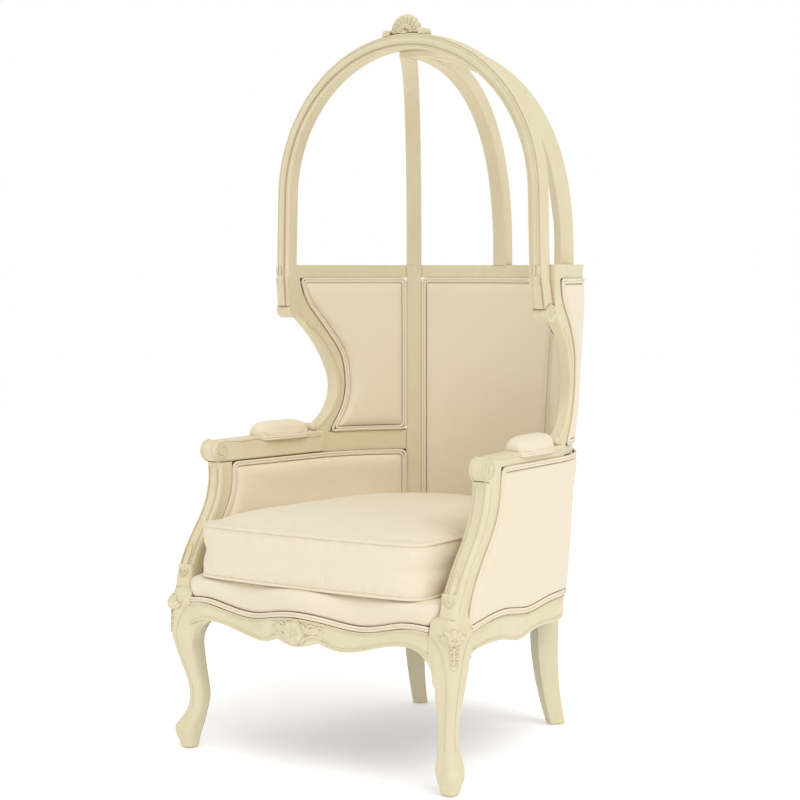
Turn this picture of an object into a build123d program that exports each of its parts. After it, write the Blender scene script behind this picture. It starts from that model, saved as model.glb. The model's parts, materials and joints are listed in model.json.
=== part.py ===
"""Dome-topped throne chair: a carved, painted frame with linen panels and a loose seat cushion.

All lengths are millimetres. X runs across the chair, the chair faces -Y, and Z is up from the floor.
The seat is a horseshoe barrel whose wall leans outward, so each rail, post, pad and welt is cut
from a shell between two copies of that leaning horseshoe. Every piece is drawn on the right-hand
side (+X) and mirrored to the left.
"""
from build123d import *

import os
from functools import cache
from math import atan2, cos, hypot, radians, sin, tan

os.makedirs("parts", exist_ok=True)

# Barrel wall: the middle line of the horseshoe, measured at the top of the top rail
barrel_radius = 368.7
barrel_y = 38.0
lean_angle = 3.0
splay_angle = 4.8
frame_thickness = 32.0
arm_thickness = 44.0
barrel_reach = 620.0

# Heights, stacked from the floor up
glide_height = 3.0
leg_height = 300.0
leg_block_height = 75.0
seat_rail_height = 45.0
arm_rise = 359.0
wing_rise = 404.0
top_rail_height = 31.0

# Rear posts, each one piece from foot to top rail
stile_angle = 53.7
stile_width = 36.0
stile_thickness = 36.0
rear_block_width = 52.0
rear_foot_width = 36.0
rear_foot_back = 40.0
rear_foot_out = 9.0
rear_block_drop = 70.0
rear_block_step = 4.0

# Front legs
front_leg_x = 362.0
front_leg_ahead = 393.0
leg_block_width = 68.0
leg_sweep = 24.0
leg_corner_radius = 24.0
knee_flower_radius = 13.0
knee_flower_height = 9.0
knee_flower_rise = 35.0
knee_out = 24.0
knee_ear_reach = 34.0
knee_ear_drop = 54.0
knee_ear_thickness = 28.0
knee_ear_set_back = 6.0
knee_ear_sink = 3.0
knee_ear_edge_radius = 3.0
shoulder_height = 27.0
shoulder_step = 10.0
shoulder_corner_radius = 16.0

# Seat rails
front_rail_thickness = 44.0
front_rail_bow = 31.0
rail_wave = 18.0
rail_arch = 14.0
side_rail_wave = 12.0
cartouche_radius = 25.0
cartouche_relief = 4.0

# Arms and their supports
support_sweep = 117.0
support_foot_ahead = 21.0
support_depth = 54.0
support_inner_depth = 38.0
support_edge_radius = 9.0
scroll_radius = 26.0
scroll_set_back = 9.0
arm_joint_y = 57.0
arm_dip = 4.0
arm_height = 54.0
arm_edge_radius = 6.0
mid_rail_drop = 6.0
arm_pad_length = 161.0
arm_pad_height = 25.0
arm_pad_width = 40.0
arm_pad_front = 211.0
outer_panel_lap = 28.0

# Wing posts
wing_flare = 89.0
wing_foot_depth = 39.0
wing_heel = 23.0
wing_open_flare = 53.0
wing_edge_radius = 6.0
roll_radius = 19.0
roll_length = 40.0

# Front arch and its foot
arch_radius = 352.0
arch_lean = 1.5
arch_centre_rise = 157.0
arch_width = 35.0
arch_depth = 38.0
arch_edge_radius = 5.0
arch_bead_depth = 4.0
arch_bead_width = 19.0
arch_bead_inset = 5.0
arch_y = -4.0
arch_foot_height = 67.0
arch_foot_back = 10.0
arch_foot_out = 3.0
roll_drop = 108.0
roll_back = 15.0

# Dome ribs
rib_width = 36.0
rib_thickness = 36.0
rib_edge_radius = 3.0
rib_power = 2.5
rib_crown_drop = 15.0
rib_steps = 9

# Shell finial
finial_height = 45.0
finial_flutes = 9
finial_shoulder = 0.06
finial_fan_angle = 156.0
flute_radius = 8.5
flute_root_radius = 4.0
finial_scroll_radius = 10.0
finial_scroll_x = 50.0
finial_depth = 26.0

# Upholstery
fit_gap = 0.3
pad_seat = 2.0
pad_rise = 9.0
outer_pad_rise = 6.0
welt_width = 12.0
welt_height = 5.0
deck_rise = 62.0
deck_edge_radius = 18.0
deck_side_gap = 1.5
deck_set_back = 9.0
deck_welt_inset = 1.0
arm_pad_edge = 8.0

# Loose seat cushion
cushion_splay = 1.1
cushion_front_ahead = 423.0
cushion_front_bow = 16.0
cushion_back_radius = 300.0
cushion_corner_radius = 38.0
cushion_border = 104.0
cushion_crown = 30.0
cushion_crown_inset = 120.0
cushion_belly = 8.0
cushion_belly_inset = 46.0
cushion_draw = 5.0
piping_radius = 4.0

# Hidden pieces
web_width = 50.0
web_thickness = 2.0
web_drop = 24.0
web_pitch = 96.0
webs_lengthwise = 5
webs_crosswise = 5
corner_block_leg = 74.0
corner_block_height = 17.0
dust_cover_thickness = 1.5
dust_cover_drop = 3.0
glide_radius = 12.0
screw_length = 55.0
screw_radius = 2.5
screw_head_radius = 3.8
screw_head_height = 3.0
plug_width = 6.0
plug_height = 22.0
plug_depth = 7.0
plug_stand = 1.5
plug_spacing = 9.0
plug_drop = 13.0
plug_out = 6.0
dowel_radius = 5.0
dowel_length = 30.0
rail_dowel_share = 0.3
wing_dowel_share = 0.4
arm_dowel_rise = 8.0
head_dowel_drop = 4.0
crown_dowel_drop = 6.0
dowel_gap = 0.2
overrun = 40.0

# Heights worked out from the stack
leg_top_z = leg_height + leg_block_height
seat_rail_top_z = leg_height + seat_rail_height
arm_top_z = seat_rail_top_z + arm_rise
arm_low_z = arm_top_z - arm_height
mid_rail_top_z = arm_top_z - mid_rail_drop
rail_top_z = arm_top_z + wing_rise
rail_low_z = rail_top_z - top_rail_height
arch_centre_z = rail_top_z + arch_centre_rise
arch_crown_z = arch_centre_z + arch_radius
roll_z = rail_top_z - roll_drop
deck_top_z = seat_rail_top_z + deck_rise
front_leg_y = barrel_y - front_leg_ahead
block_back_y = front_leg_y + leg_block_width / 2
block_front_y = front_leg_y - leg_block_width / 2
block_inner_x = front_leg_x - leg_block_width / 2
arch_front_y = arch_y - arch_depth / 2
arch_back_y = arch_y + arch_depth / 2
arch_foot_low_z = rail_low_z - arch_foot_height
half_wall = frame_thickness / 2
roll_y = arch_y + roll_back
arch_lean_tan = tan(radians(arch_lean))
arch_spring_x = arch_radius * cos(radians(arch_lean))
arch_spring_z = arch_centre_z + arch_radius * sin(radians(arch_lean))


def arch_x(z):
    """Distance of the arch's straight leg from the chair's middle plane."""
    return arch_spring_x + (arch_spring_z - z) * arch_lean_tan


def middle_radius(z):
    """Radius of the wall's middle line at a height."""
    return barrel_radius - (rail_top_z - z) * tan(radians(lean_angle))


def wall_x(y, z, offset=0.0):
    """Distance from the chair's middle plane to the straight side wall."""
    splay = radians(splay_angle)
    radius = middle_radius(z) + offset
    return (radius + (barrel_y - y) * sin(splay)) / cos(splay)


@cache
def barrel(offset):
    """Leaning horseshoe block whose side lies at an offset from the wall's middle line."""
    radius = middle_radius(0.0) + offset
    splay = radians(splay_angle)
    side = (radius * cos(splay), barrel_y + radius * sin(splay))
    back = (0.0, barrel_y + radius)
    corner = (wall_x(barrel_y - barrel_reach, 0.0, offset), barrel_y - barrel_reach)
    with BuildPart() as block:
        with BuildSketch(Plane.XY):
            with BuildLine():
                Line(corner, side)
                ThreePointArc(side, back, (-side[0], side[1]))
                Line((-side[0], side[1]), (-corner[0], corner[1]))
                Line((-corner[0], corner[1]), corner)
            make_face()
        extrude(amount=rail_top_z + overrun, taper=-lean_angle)
    return block.part


@cache
def shell(inner, outer):
    """Wall between two offsets from the middle line."""
    with BuildPart() as wall:
        add(barrel(outer))
        add(barrel(inner), mode=Mode.SUBTRACT)
    return wall.part


def stile_frame():
    """Radial and sideways directions of the right-hand rear post in plan."""
    angle = radians(stile_angle)
    return (cos(angle), sin(angle)), (-sin(angle), cos(angle))


def stile_point(radius, sideways):
    """Plan point at a radius along the post's radial line and a step to its side."""
    along, across = stile_frame()
    x = along[0] * radius + across[0] * sideways
    y = barrel_y + along[1] * radius + across[1] * sideways
    return (x, y)


def plan_prism(points):
    """Upright block over a plan polygon, from the floor to above the top rail."""
    with BuildPart() as prism:
        with BuildSketch(Plane.XY):
            with BuildLine():
                Polyline(*points, close=True)
            make_face()
        extrude(amount=rail_top_z + overrun)
    return prism.part


def side_bay(half_width):
    """Room on the right between the front and the rear post's front face."""
    near = stile_point(half_width, -half_width)
    far = stile_point(barrel_reach, -half_width)
    front = barrel_y - barrel_reach
    return plan_prism([near, far, (barrel_reach, barrel_y), (barrel_reach, front), (near[0], front)])


def back_bay(half_width):
    """Room between the two rear posts."""
    near = stile_point(barrel_radius / 2, half_width)
    far = stile_point(barrel_reach, half_width)
    return plan_prism([near, far, (-far[0], far[1]), (-near[0], near[1])])


def placed(shares, start, span):
    """Points at shares of a span, from a start."""
    return [(start[0] + a * span[0], start[1] + b * span[1]) for a, b in shares]


def side_prism(draw):
    """Block on the right whose outline, drawn in Y and Z, runs through the side wall."""
    with BuildPart() as prism:
        with BuildSketch(Plane.YZ):
            with BuildLine():
                draw()
            make_face()
        extrude(amount=barrel_reach)
    return prism.part


def cut_from(prism, wall, bay):
    """Part of a wall that lies inside a prism and a bay."""
    with BuildPart() as piece:
        add(prism)
        add(wall, mode=Mode.INTERSECT)
        add(bay, mode=Mode.INTERSECT)
    return piece.part


wood_wall = shell(-half_wall, half_wall)
arm_wall = shell(-arm_thickness / 2, arm_thickness / 2)
stile_wall = shell(-stile_thickness / 2, stile_thickness / 2)
panel_side_bay = side_bay(stile_width / 2)
panel_back_bay = back_bay(stile_width / 2)
rail_side_bay = side_bay(rear_block_width / 2)
rail_back_bay = back_bay(rear_block_width / 2)
roll_x = arch_x(roll_z) + arch_foot_out
pieces = {}


def keep(name, part):
    """Label a finished piece and remember it under its node name."""
    part.label = name
    pieces[name] = part


def keep_pair(name, part):
    """Keep a right-hand piece and its mirror image on the left."""
    with BuildPart() as twin:
        mirror(part, about=Plane.YZ)
    keep(name + "_right", part)
    keep(name + "_left", twin.part)


# Outlines of the side in Y and Z
support_edge_shares = ((0, 0), (0.05, 0.09), (0.24, 0.27), (0.53, 0.455), (0.8, 0.62), (0.957, 0.78), (1, 1))
support_foot = (front_leg_y - support_foot_ahead, leg_top_z)
support_top = (support_foot[0] + support_sweep, arm_low_z)
support_rise = arm_low_z - leg_top_z
support_edge = placed(support_edge_shares, support_foot, (support_sweep, support_rise))
scroll_y = support_top[0] + scroll_set_back
scroll_z = arm_low_z + scroll_radius
arm_end_y = barrel_y + arm_joint_y

# The wing post's edges, as shares of the flare and of the wing's height
wing_edge_shares = (
    (0.0, 0.0), (0.37, 0.045), (0.76, 0.125), (0.98, 0.222), (1.0, 0.355), (0.83, 0.47), (0.52, 0.592), (0.07, 0.7),
)
wing_open_shares = (
    (0.0, 0.0), (0.45, 0.095), (0.71, 0.161), (0.94, 0.272), (0.96, 0.385), (0.83, 0.496), (0.3, 0.625),
    (-0.46, 0.755), (-1.12, 0.873), (-1.4, 1.0),
)
wing_foot_y = barrel_y + arm_joint_y - wing_foot_depth
wing_height = rail_low_z - arm_top_z
wing_edge = placed(wing_edge_shares, (wing_foot_y, arm_top_z), (wing_flare, wing_height))
wing_open_start = (wing_foot_y + wing_foot_depth + wing_heel, mid_rail_top_z)
wing_open = placed(wing_open_shares, wing_open_start, (wing_open_flare, rail_low_z - mid_rail_top_z))


def shifted(points, step):
    """Points moved along the first axis."""
    return [(a + step, b) for a, b in points]


def moved_back(points, amount):
    """Points of a rising line moved square to it, backward, by an amount, with its ends drawn in too."""
    if not amount:
        return points
    (low_y, low_z), (high_y, high_z) = points[0], points[-1]
    low_slope = (points[1][0] - low_y) / (points[1][1] - low_z)
    high_slope = (high_y - points[-2][0]) / (high_z - points[-2][1])
    moved = [(low_y + amount * (hypot(1, low_slope) + low_slope), low_z + amount)]
    for before, point, after in zip(points, points[1:], points[2:]):
        run = after[0] - before[0]
        rise = after[1] - before[1]
        size = hypot(run, rise)
        place = (point[0] + amount * rise / size, point[1] - amount * run / size)
        if low_z + amount * 2 < place[1] < high_z - amount * 2:
            moved.append(place)
    return moved + [(high_y + amount * (hypot(1, high_slope) - high_slope), high_z - amount)]


def wing_opening(inset=0.0):
    """Opening between the wing post, mid rail, rear post and top rail, drawn in by an inset."""
    edge = moved_back(wing_open, inset)
    Spline(*edge)
    Polyline(edge[-1], (barrel_reach, edge[-1][1]), (barrel_reach, edge[0][1]), edge[0])


def wing_post_outline():
    """S-shaped wing post from the arm up to the top rail."""
    foot_y = arch_back_y + arch_foot_back
    Spline(*wing_edge)
    Polyline(wing_edge[-1], (foot_y, roll_z), (foot_y, arch_foot_low_z), (arch_back_y, rail_low_z), wing_open[-1])
    Spline(*wing_open[::-1])
    Polyline(wing_open[0], (arm_end_y, mid_rail_top_z), (arm_end_y, arm_top_z), wing_edge[0])


# Wavy edges of the side seat rail, as shares of its length and of its wave
side_rail_top_shares = ((0, -0.6), (0.14, 0.4), (0.27, 0.55), (0.4, -0.3), (0.57, 0.6), (0.8, -0.1), (1, 0))
side_rail_low_shares = ((0, -0.6), (0.1, 0.3), (0.27, 0.1), (0.36, -0.75), (0.45, 0.1), (0.62, 0.35), (1, -0.2))
side_rail_run = barrel_y + middle_radius(seat_rail_top_z) - block_back_y
side_rail_low_z = leg_height - rail_arch / 2
side_rail_top = placed(side_rail_top_shares, (block_back_y, seat_rail_top_z), (side_rail_run, side_rail_wave))
side_rail_low = placed(side_rail_low_shares, (block_back_y, side_rail_low_z), (side_rail_run, side_rail_wave))


def side_rail_outline():
    """Side seat rail with its wavy edges and small drop."""
    Spline(*side_rail_top)
    Line(side_rail_top[-1], side_rail_low[-1])
    Spline(*side_rail_low[::-1])
    Line(side_rail_low[0], side_rail_top[0])


def side_opening(depth, top_z, inset=0.0):
    """Opening under the arm: its front edge lies a depth behind the support's, all drawn in by an inset."""
    front = moved_back(shifted(support_edge, depth), inset)
    top_z -= inset
    sill = [(y, z + inset) for y, z in side_rail_top]
    sill[0] = (sill[0][0] + inset, sill[0][1])
    Spline(*front)
    if top_z > front[-1][1]:
        Line(front[-1], (front[-1][0], top_z))
    Polyline((front[-1][0], top_z), (barrel_reach, top_z), (barrel_reach, sill[-1][1]), sill[-1])
    Spline(*sill[::-1])
    Polyline(sill[0], (sill[0][0], front[0][1]), front[0])


def outer_side_opening(inset=0.0):
    """Outside opening: it laps up over the arm and starts behind the whole support."""
    side_opening(support_depth, arm_low_z + outer_panel_lap, inset)


def inner_side_opening(inset=0.0):
    """Inside opening: it laps forward over the support."""
    side_opening(support_inner_depth, arm_low_z, inset)


def support_outline():
    """Swept-back arm support between the leg block and the arm."""
    back = shifted(support_edge, support_depth)
    Spline(*support_edge)
    Line(support_edge[-1], back[-1])
    Spline(*back[::-1])
    Line(back[0], support_edge[0])


def arm_outline():
    """Arm without its scroll, from the scroll's centre back to the joint under the wing post."""
    Polyline((scroll_y, arm_low_z), (scroll_y, arm_top_z - arm_dip), (arm_end_y - arm_pad_front, arm_top_z),
             (arm_end_y, arm_top_z), (arm_end_y, arm_low_z), close=True)


def mid_rail_outline():
    """Rail from the arm back to the rear post, between the wing and the side panel."""
    Polyline((arm_end_y, arm_low_z), (arm_end_y, mid_rail_top_z), (barrel_reach, mid_rail_top_z),
             (barrel_reach, arm_low_z), close=True)


def wing_rail_outline():
    """Top rail over the wing, from the arch back to the rear post."""
    Polyline((arch_back_y, rail_low_z), (arch_back_y, rail_top_z), (barrel_reach, rail_top_z),
             (barrel_reach, rail_low_z), close=True)


def level_block(low_z, high_z):
    """Block between two heights over the whole plan."""
    with BuildPart() as block:
        with BuildSketch(Plane.XY.offset(low_z)):
            Rectangle(barrel_reach * 2, barrel_reach * 2)
        extrude(amount=high_z - low_z)
    return block.part


def post_slab(width):
    """Upright slab along the rear post's radial line."""
    near = stile_point(barrel_radius / 2, width / 2)
    far = stile_point(barrel_reach, width / 2)
    return plan_prism([near, far, stile_point(barrel_reach, -width / 2), stile_point(barrel_radius / 2, -width / 2)])


def pin(centre, direction, radius=dowel_radius, length=dowel_length):
    """Round pin with its middle at a point, along a direction."""
    with BuildPart() as peg:
        with BuildSketch(Plane(origin=centre, z_dir=direction)):
            Circle(radius)
        extrude(amount=length / 2, both=True)
    return peg.part


def bored(part, joints):
    """Part with a hole for each dowel that reaches into it."""
    with BuildPart() as drilled:
        add(part)
        for centre, direction in joints:
            add(pin(centre, direction, dowel_radius + dowel_gap, dowel_length + dowel_gap * 2), mode=Mode.SUBTRACT)
    return drilled.part


# Dowel joints on the right: a point on the joint's face and the dowel's direction
upright = (0, 0, 1)
lengthwise = (0, 1, 0)
crosswise = (1, 0, 0)
foot_y = support_foot[0] + support_depth / 2
head_y = support_top[0] + support_depth / 2
joint_z = (arm_low_z + arm_top_z) / 2 + arm_dowel_rise
stile_along, stile_across = stile_frame()


def stile_joint(z, half_width):
    """Dowel point on the rear post's front face, and on its rear face for a negative half width."""
    x, y = stile_point(middle_radius(z), -half_width)
    return ((x, y, z), (stile_across[0], stile_across[1], 0))


leg_joint = ((wall_x(foot_y, leg_top_z), foot_y, leg_top_z), upright)
arm_head_joint = ((wall_x(head_y, arm_low_z), head_y, arm_low_z), upright)
arm_back_joint = ((wall_x(arm_end_y, joint_z), arm_end_y, joint_z), lengthwise)
mid_rail_joint = stile_joint(joint_z, stile_width / 2)
rail_dowel_z = rail_low_z + top_rail_height * rail_dowel_share
wing_rail_joint = stile_joint(rail_dowel_z, stile_width / 2)
back_rail_joint = stile_joint(rail_dowel_z, -stile_width / 2)
seat_joint_z = (leg_height + seat_rail_top_z) / 2
side_rail_joint = stile_joint(seat_joint_z, rear_block_width / 2)
back_seat_joint = stile_joint(seat_joint_z, -rear_block_width / 2)
front_rail_joint = ((block_inner_x, block_front_y + front_rail_thickness / 2, seat_joint_z), crosswise)
side_front_joint = ((wall_x(block_back_y, seat_joint_z), block_back_y, seat_joint_z), lengthwise)
wing_foot_y_mid = wing_foot_y + wing_foot_depth * wing_dowel_share
wing_foot_joint = ((wall_x(wing_foot_y_mid, arm_top_z), wing_foot_y_mid, arm_top_z), upright)
wing_head_y = (arch_back_y + wing_open[-1][0]) / 2
wing_head_joint = ((wall_x(wing_head_y, rail_low_z), wing_head_y, rail_low_z - head_dowel_drop), upright)
rib_corner_joint = ((*stile_point(barrel_radius, 0), rail_top_z), upright)
rib_centre_joint = ((0, barrel_y + barrel_radius, rail_top_z), upright)
crown_joint = ((0, arch_y, arch_crown_z - crown_dowel_drop), crosswise)
finial_joint = ((0, arch_y, arch_crown_z + arch_width / 2), upright)
paired_joints = [
    leg_joint, arm_head_joint, arm_back_joint, mid_rail_joint, wing_rail_joint, back_rail_joint, side_rail_joint,
    back_seat_joint, front_rail_joint, side_front_joint, wing_foot_joint, wing_head_joint, rib_corner_joint,
]

# Wood of the side: supports, arms, rails and wing posts
inner_room = shell(-half_wall - overrun, -fit_gap / 2)
outer_room = shell(fit_gap / 2, half_wall + overrun)
outer_side_room = cut_from(side_prism(outer_side_opening), outer_room, panel_side_bay)
inner_side_room = cut_from(side_prism(inner_side_opening), inner_room, panel_side_bay)


def front_edges(piece, least):
    """Long edges along the front of an S-shaped post."""
    long_edges = piece.edges().filter_by(lambda e: e.length > least)
    middle_y = sum(e.center().Y for e in long_edges) / len(long_edges)
    return long_edges.filter_by(lambda e: e.center().Y < middle_y)


with BuildPart() as arm_support:
    add(side_prism(support_outline))
    add(arm_wall, mode=Mode.INTERSECT)
    fillet(front_edges(arm_support, support_rise / 2), support_edge_radius)
    add(inner_side_room, mode=Mode.SUBTRACT)
keep_pair("arm_support", bored(arm_support.part, [leg_joint, arm_head_joint]))

with BuildPart() as arm:
    with BuildSketch(Plane.YZ):
        with BuildLine():
            arm_outline()
        make_face()
        with Locations((scroll_y, scroll_z)):
            Circle(scroll_radius)
    extrude(amount=barrel_reach)
    add(arm_wall, mode=Mode.INTERSECT)
    top_edges = arm.edges().filter_by(lambda e: e.length > scroll_radius * 2)
    fillet(top_edges.filter_by(lambda e: e.center().Z > scroll_z + arm_dip), arm_edge_radius)
    add(outer_side_room, mode=Mode.SUBTRACT)
keep_pair("arm", bored(arm.part, [arm_head_joint, arm_back_joint, wing_foot_joint]))

with BuildPart() as mid_rail:
    add(cut_from(side_prism(mid_rail_outline), wood_wall, panel_side_bay))
    add(outer_side_room, mode=Mode.SUBTRACT)
keep_pair("mid_rail", bored(mid_rail.part, [arm_back_joint, mid_rail_joint]))

with BuildPart() as wing_post:
    add(cut_from(side_prism(wing_post_outline), wood_wall, panel_side_bay))
    fillet(front_edges(wing_post, wing_height / 2), wing_edge_radius)
    with BuildSketch(Plane.YZ.offset(roll_x - roll_length / 2)):
        with Locations((roll_y, roll_z)):
            Circle(roll_radius)
    extrude(amount=roll_length)
keep_pair("wing_post", bored(wing_post.part, [wing_foot_joint, wing_head_joint]))

wing_rail = cut_from(side_prism(wing_rail_outline), wood_wall, panel_side_bay)
side_rail = cut_from(side_prism(side_rail_outline), wood_wall, rail_side_bay)
keep_pair("side_seat_rail", bored(side_rail, [side_rail_joint, side_front_joint]))

# Wood of the back


def mirrored_joints(joints):
    """Joints on the right together with their mirror images."""
    left = [((-c[0], c[1], c[2]), (-d[0], d[1], d[2])) for c, d in joints]
    return joints + left


back_rail = cut_from(level_block(rail_low_z, rail_top_z), wood_wall, panel_back_bay)
back_seat_rail = cut_from(level_block(leg_height - rail_arch / 2, seat_rail_top_z), wood_wall, rail_back_bay)
keep("top_rail_back", bored(back_rail, mirrored_joints([back_rail_joint]) + [rib_centre_joint]))
keep("back_seat_rail", bored(back_seat_rail, mirrored_joints([back_seat_joint])))

# Rear posts: a swept foot, a square block at the seat and a leaning stile
rear_leg_shares = ((0, 1, 0), (0.34, 0.42, 0.35), (0.68, 0.08, 0.75), (1, 0, 1))
rear_loft_top_z = leg_height - rear_block_drop
with BuildPart() as rear_post:
    for height, back, width in rear_leg_shares:
        z = glide_height + height * (rear_loft_top_z - glide_height)
        x, y = stile_point(middle_radius(rear_loft_top_z), 0)
        size = rear_foot_width + width * (rear_block_width - rear_foot_width)
        with BuildSketch(Plane.XY.offset(z)):
            with Locations(Location((x + back * rear_foot_out, y + back * rear_foot_back, 0), (0, 0, stile_angle))):
                Rectangle(size, size)
    loft()
    add(cut_from(post_slab(rear_block_width), shell(-rear_block_width / 2, rear_block_width / 2),
                 level_block(rear_loft_top_z, seat_rail_top_z - rear_block_step)))
    add(cut_from(post_slab(stile_width), stile_wall, level_block(rear_loft_top_z, rail_top_z)))
post_joints = [mid_rail_joint, wing_rail_joint, back_rail_joint, side_rail_joint, back_seat_joint, rib_corner_joint]
keep_pair("rear_post", bored(rear_post.part, post_joints))

# Front seat rail: bowed in plan, waved above and below, with a raised boss for the carved shell
rail_half = block_inner_x
rail_top_shares = ((1.0, -0.1), (0.817, 0.05), (0.65, -0.55), (0.448, -1.05), (0.24, -0.5), (0.0, 0.0))
rail_low_shares = ((1.0, -0.5), (0.86, 0.6), (0.64, 0.0), (0.48, -1.0), (0.305, -1.35), (0.177, -0.3))
rail_plan_shares = ((1.0, 0.0), (0.76, 0.19), (0.46, 0.06), (0.0, 1.0))
cartouche_low_share = -1.15


def both_sides(points):
    """Points on the right from the outside in, carried on to the left in mirror image."""
    return points + [(-x, y) for x, y in points[::-1] if x > 0]


rail_top_line = both_sides(placed(rail_top_shares, (0, seat_rail_top_z), (rail_half, rail_wave)))
rail_low_line = placed(rail_low_shares, (0, leg_height), (rail_half, rail_arch))
rail_plan_line = both_sides(placed(rail_plan_shares, (0, block_front_y), (rail_half, -front_rail_bow)))
rail_low_left = [(-x, z) for x, z in rail_low_line[::-1]]
rail_low_middle = (0, leg_height + cartouche_low_share * rail_arch)
rail_back_y = block_front_y + front_rail_thickness


def rail_plan(set_back, back_y):
    """Plan block behind the front rail's bowed face, set back by a distance."""
    line = [(x, y + set_back) for x, y in rail_plan_line]
    with BuildPart() as prism:
        with BuildSketch(Plane.XY):
            with BuildLine():
                Spline(*line)
                Polyline(line[-1], (line[-1][0], back_y), (line[0][0], back_y), line[0])
            make_face()
        extrude(amount=rail_top_z)
    return prism.part


def rail_front(raised, start_y):
    """Block from a start line forward, under the front rail's waved top line raised by a distance."""
    line = [(x, z + raised) for x, z in rail_top_line]
    with BuildPart() as prism:
        with BuildSketch(Plane.XZ.offset(-start_y)):
            with BuildLine():
                Spline(*line)
                Polyline(line[-1], (line[-1][0], 0), (line[0][0], 0), line[0])
            make_face()
        extrude(amount=barrel_reach)
    return prism.part


with BuildPart() as front_rail:
    with BuildSketch(Plane.XZ):
        with BuildLine():
            Spline(*rail_top_line)
            Line(rail_top_line[-1], rail_low_left[-1])
            Spline(*rail_low_left[::-1])
            ThreePointArc(rail_low_left[0], rail_low_middle, rail_low_line[-1])
            Spline(*rail_low_line[::-1])
            Line(rail_low_line[0], rail_top_line[0])
        make_face()
    extrude(amount=barrel_reach)
    add(rail_plan(0, rail_back_y), mode=Mode.INTERSECT)
    with BuildSketch(Plane.XZ.offset(-block_front_y)):
        with Locations((0, (rail_low_middle[1] + seat_rail_top_z) / 2)):
            Circle(cartouche_radius)
    extrude(amount=front_rail_bow + cartouche_relief)
keep("front_seat_rail", bored(front_rail.part, mirrored_joints([front_rail_joint])))

# Front legs: height, inward sweep and width of each section, as shares
front_leg_shares = (
    (0.0, 0.0, 0.51), (0.035, 0.0, 0.56), (0.092, -0.08, 0.7), (0.155, 0.0, 0.79), (0.22, 0.33, 0.735),
    (0.3, 0.75, 0.62), (0.39, 1.0, 0.6), (0.49, 0.96, 0.605), (0.61, 0.66, 0.665), (0.77, 0.2, 0.81),
    (0.89, -0.04, 0.92), (1.0, 0.0, 1.0),
)
leg_round_share = 0.3
knee_z = leg_height - rail_arch
knee_flower_z = leg_height + knee_flower_rise
shoulder_z = leg_top_z - shoulder_height
ear_low_z = knee_z - knee_ear_drop
ear_high_z = leg_height + rail_arch


def outer_corner(plan):
    """Corner of a leg's plan that looks outward and ahead."""
    return plan.vertices().sort_by(Axis((0, 0, 0), (1, -1, 0)))[-1]


def ear_outline(face, side):
    """Ear that curves from under a rail down to the leg's face, on the given side of that face."""
    tip = (face + side * knee_ear_reach, ear_high_z)
    foot = (face - side * knee_ear_sink, ear_low_z)
    inside = face - side * leg_block_width / 2
    Spline(tip, foot, tangents=[(-side, 0), (0, -1)])
    Polyline(foot, (inside, knee_z), (inside, ear_high_z), tip)


with BuildPart() as rail_ear:
    with BuildSketch(Plane.XZ.offset(-block_front_y - knee_ear_set_back - knee_ear_thickness)):
        with BuildLine():
            ear_outline(block_inner_x, -1)
        make_face()
    extrude(amount=knee_ear_thickness)
    fillet(rail_ear.edges().filter_by(GeomType.BSPLINE), knee_ear_edge_radius)
with BuildPart() as side_ear:
    with BuildSketch(Plane.YZ.offset(wall_x(block_back_y, leg_height) - knee_ear_thickness / 2)):
        with BuildLine():
            ear_outline(block_back_y, 1)
        make_face()
    extrude(amount=knee_ear_thickness)
    fillet(side_ear.edges().filter_by(GeomType.BSPLINE), knee_ear_edge_radius)
with BuildPart() as front_leg:
    for height, inward, width in front_leg_shares:
        step = inward * leg_sweep * cos(radians(45))
        with BuildSketch(Plane.XY.offset(glide_height + height * (knee_z - glide_height))):
            with Locations((front_leg_x - step, front_leg_y + step)):
                side = width * leg_block_width
                RectangleRounded(side, side, side * leg_round_share)
    loft()
    with BuildSketch(Plane.XY.offset(knee_z)) as block_plan:
        with Locations((front_leg_x, front_leg_y)):
            Rectangle(leg_block_width, leg_block_width)
        fillet(outer_corner(block_plan), leg_corner_radius)
    extrude(amount=shoulder_z - knee_z)
    with BuildSketch(Plane.XY.offset(shoulder_z)) as shoulder_low:
        with Locations((front_leg_x, front_leg_y)):
            Rectangle(leg_block_width, leg_block_width)
        fillet(outer_corner(shoulder_low), leg_corner_radius)
    with BuildSketch(Plane.XY.offset(leg_top_z)) as shoulder_high:
        with Locations((front_leg_x - shoulder_step / 2, front_leg_y + shoulder_step / 2)):
            Rectangle(leg_block_width - shoulder_step, leg_block_width - shoulder_step)
        fillet(outer_corner(shoulder_high), shoulder_corner_radius)
    loft(ruled=True)
    with BuildSketch(Plane(origin=(front_leg_x + knee_out, front_leg_y - knee_out, knee_flower_z), z_dir=(1, -1, 0))):
        Circle(knee_flower_radius)
    extrude(amount=knee_flower_height)
    add(rail_ear.part)
    add(side_ear.part)
    add(Pos(0, 0, -fit_gap) * front_rail.part, mode=Mode.SUBTRACT)
    add(Pos(0, 0, -fit_gap) * side_rail, mode=Mode.SUBTRACT)
keep_pair("front_leg", bored(front_leg.part, [leg_joint, front_rail_joint, side_front_joint]))

# Front arch in two halves that meet under the finial
arch_face_y = arch_front_y + arch_bead_depth


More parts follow.
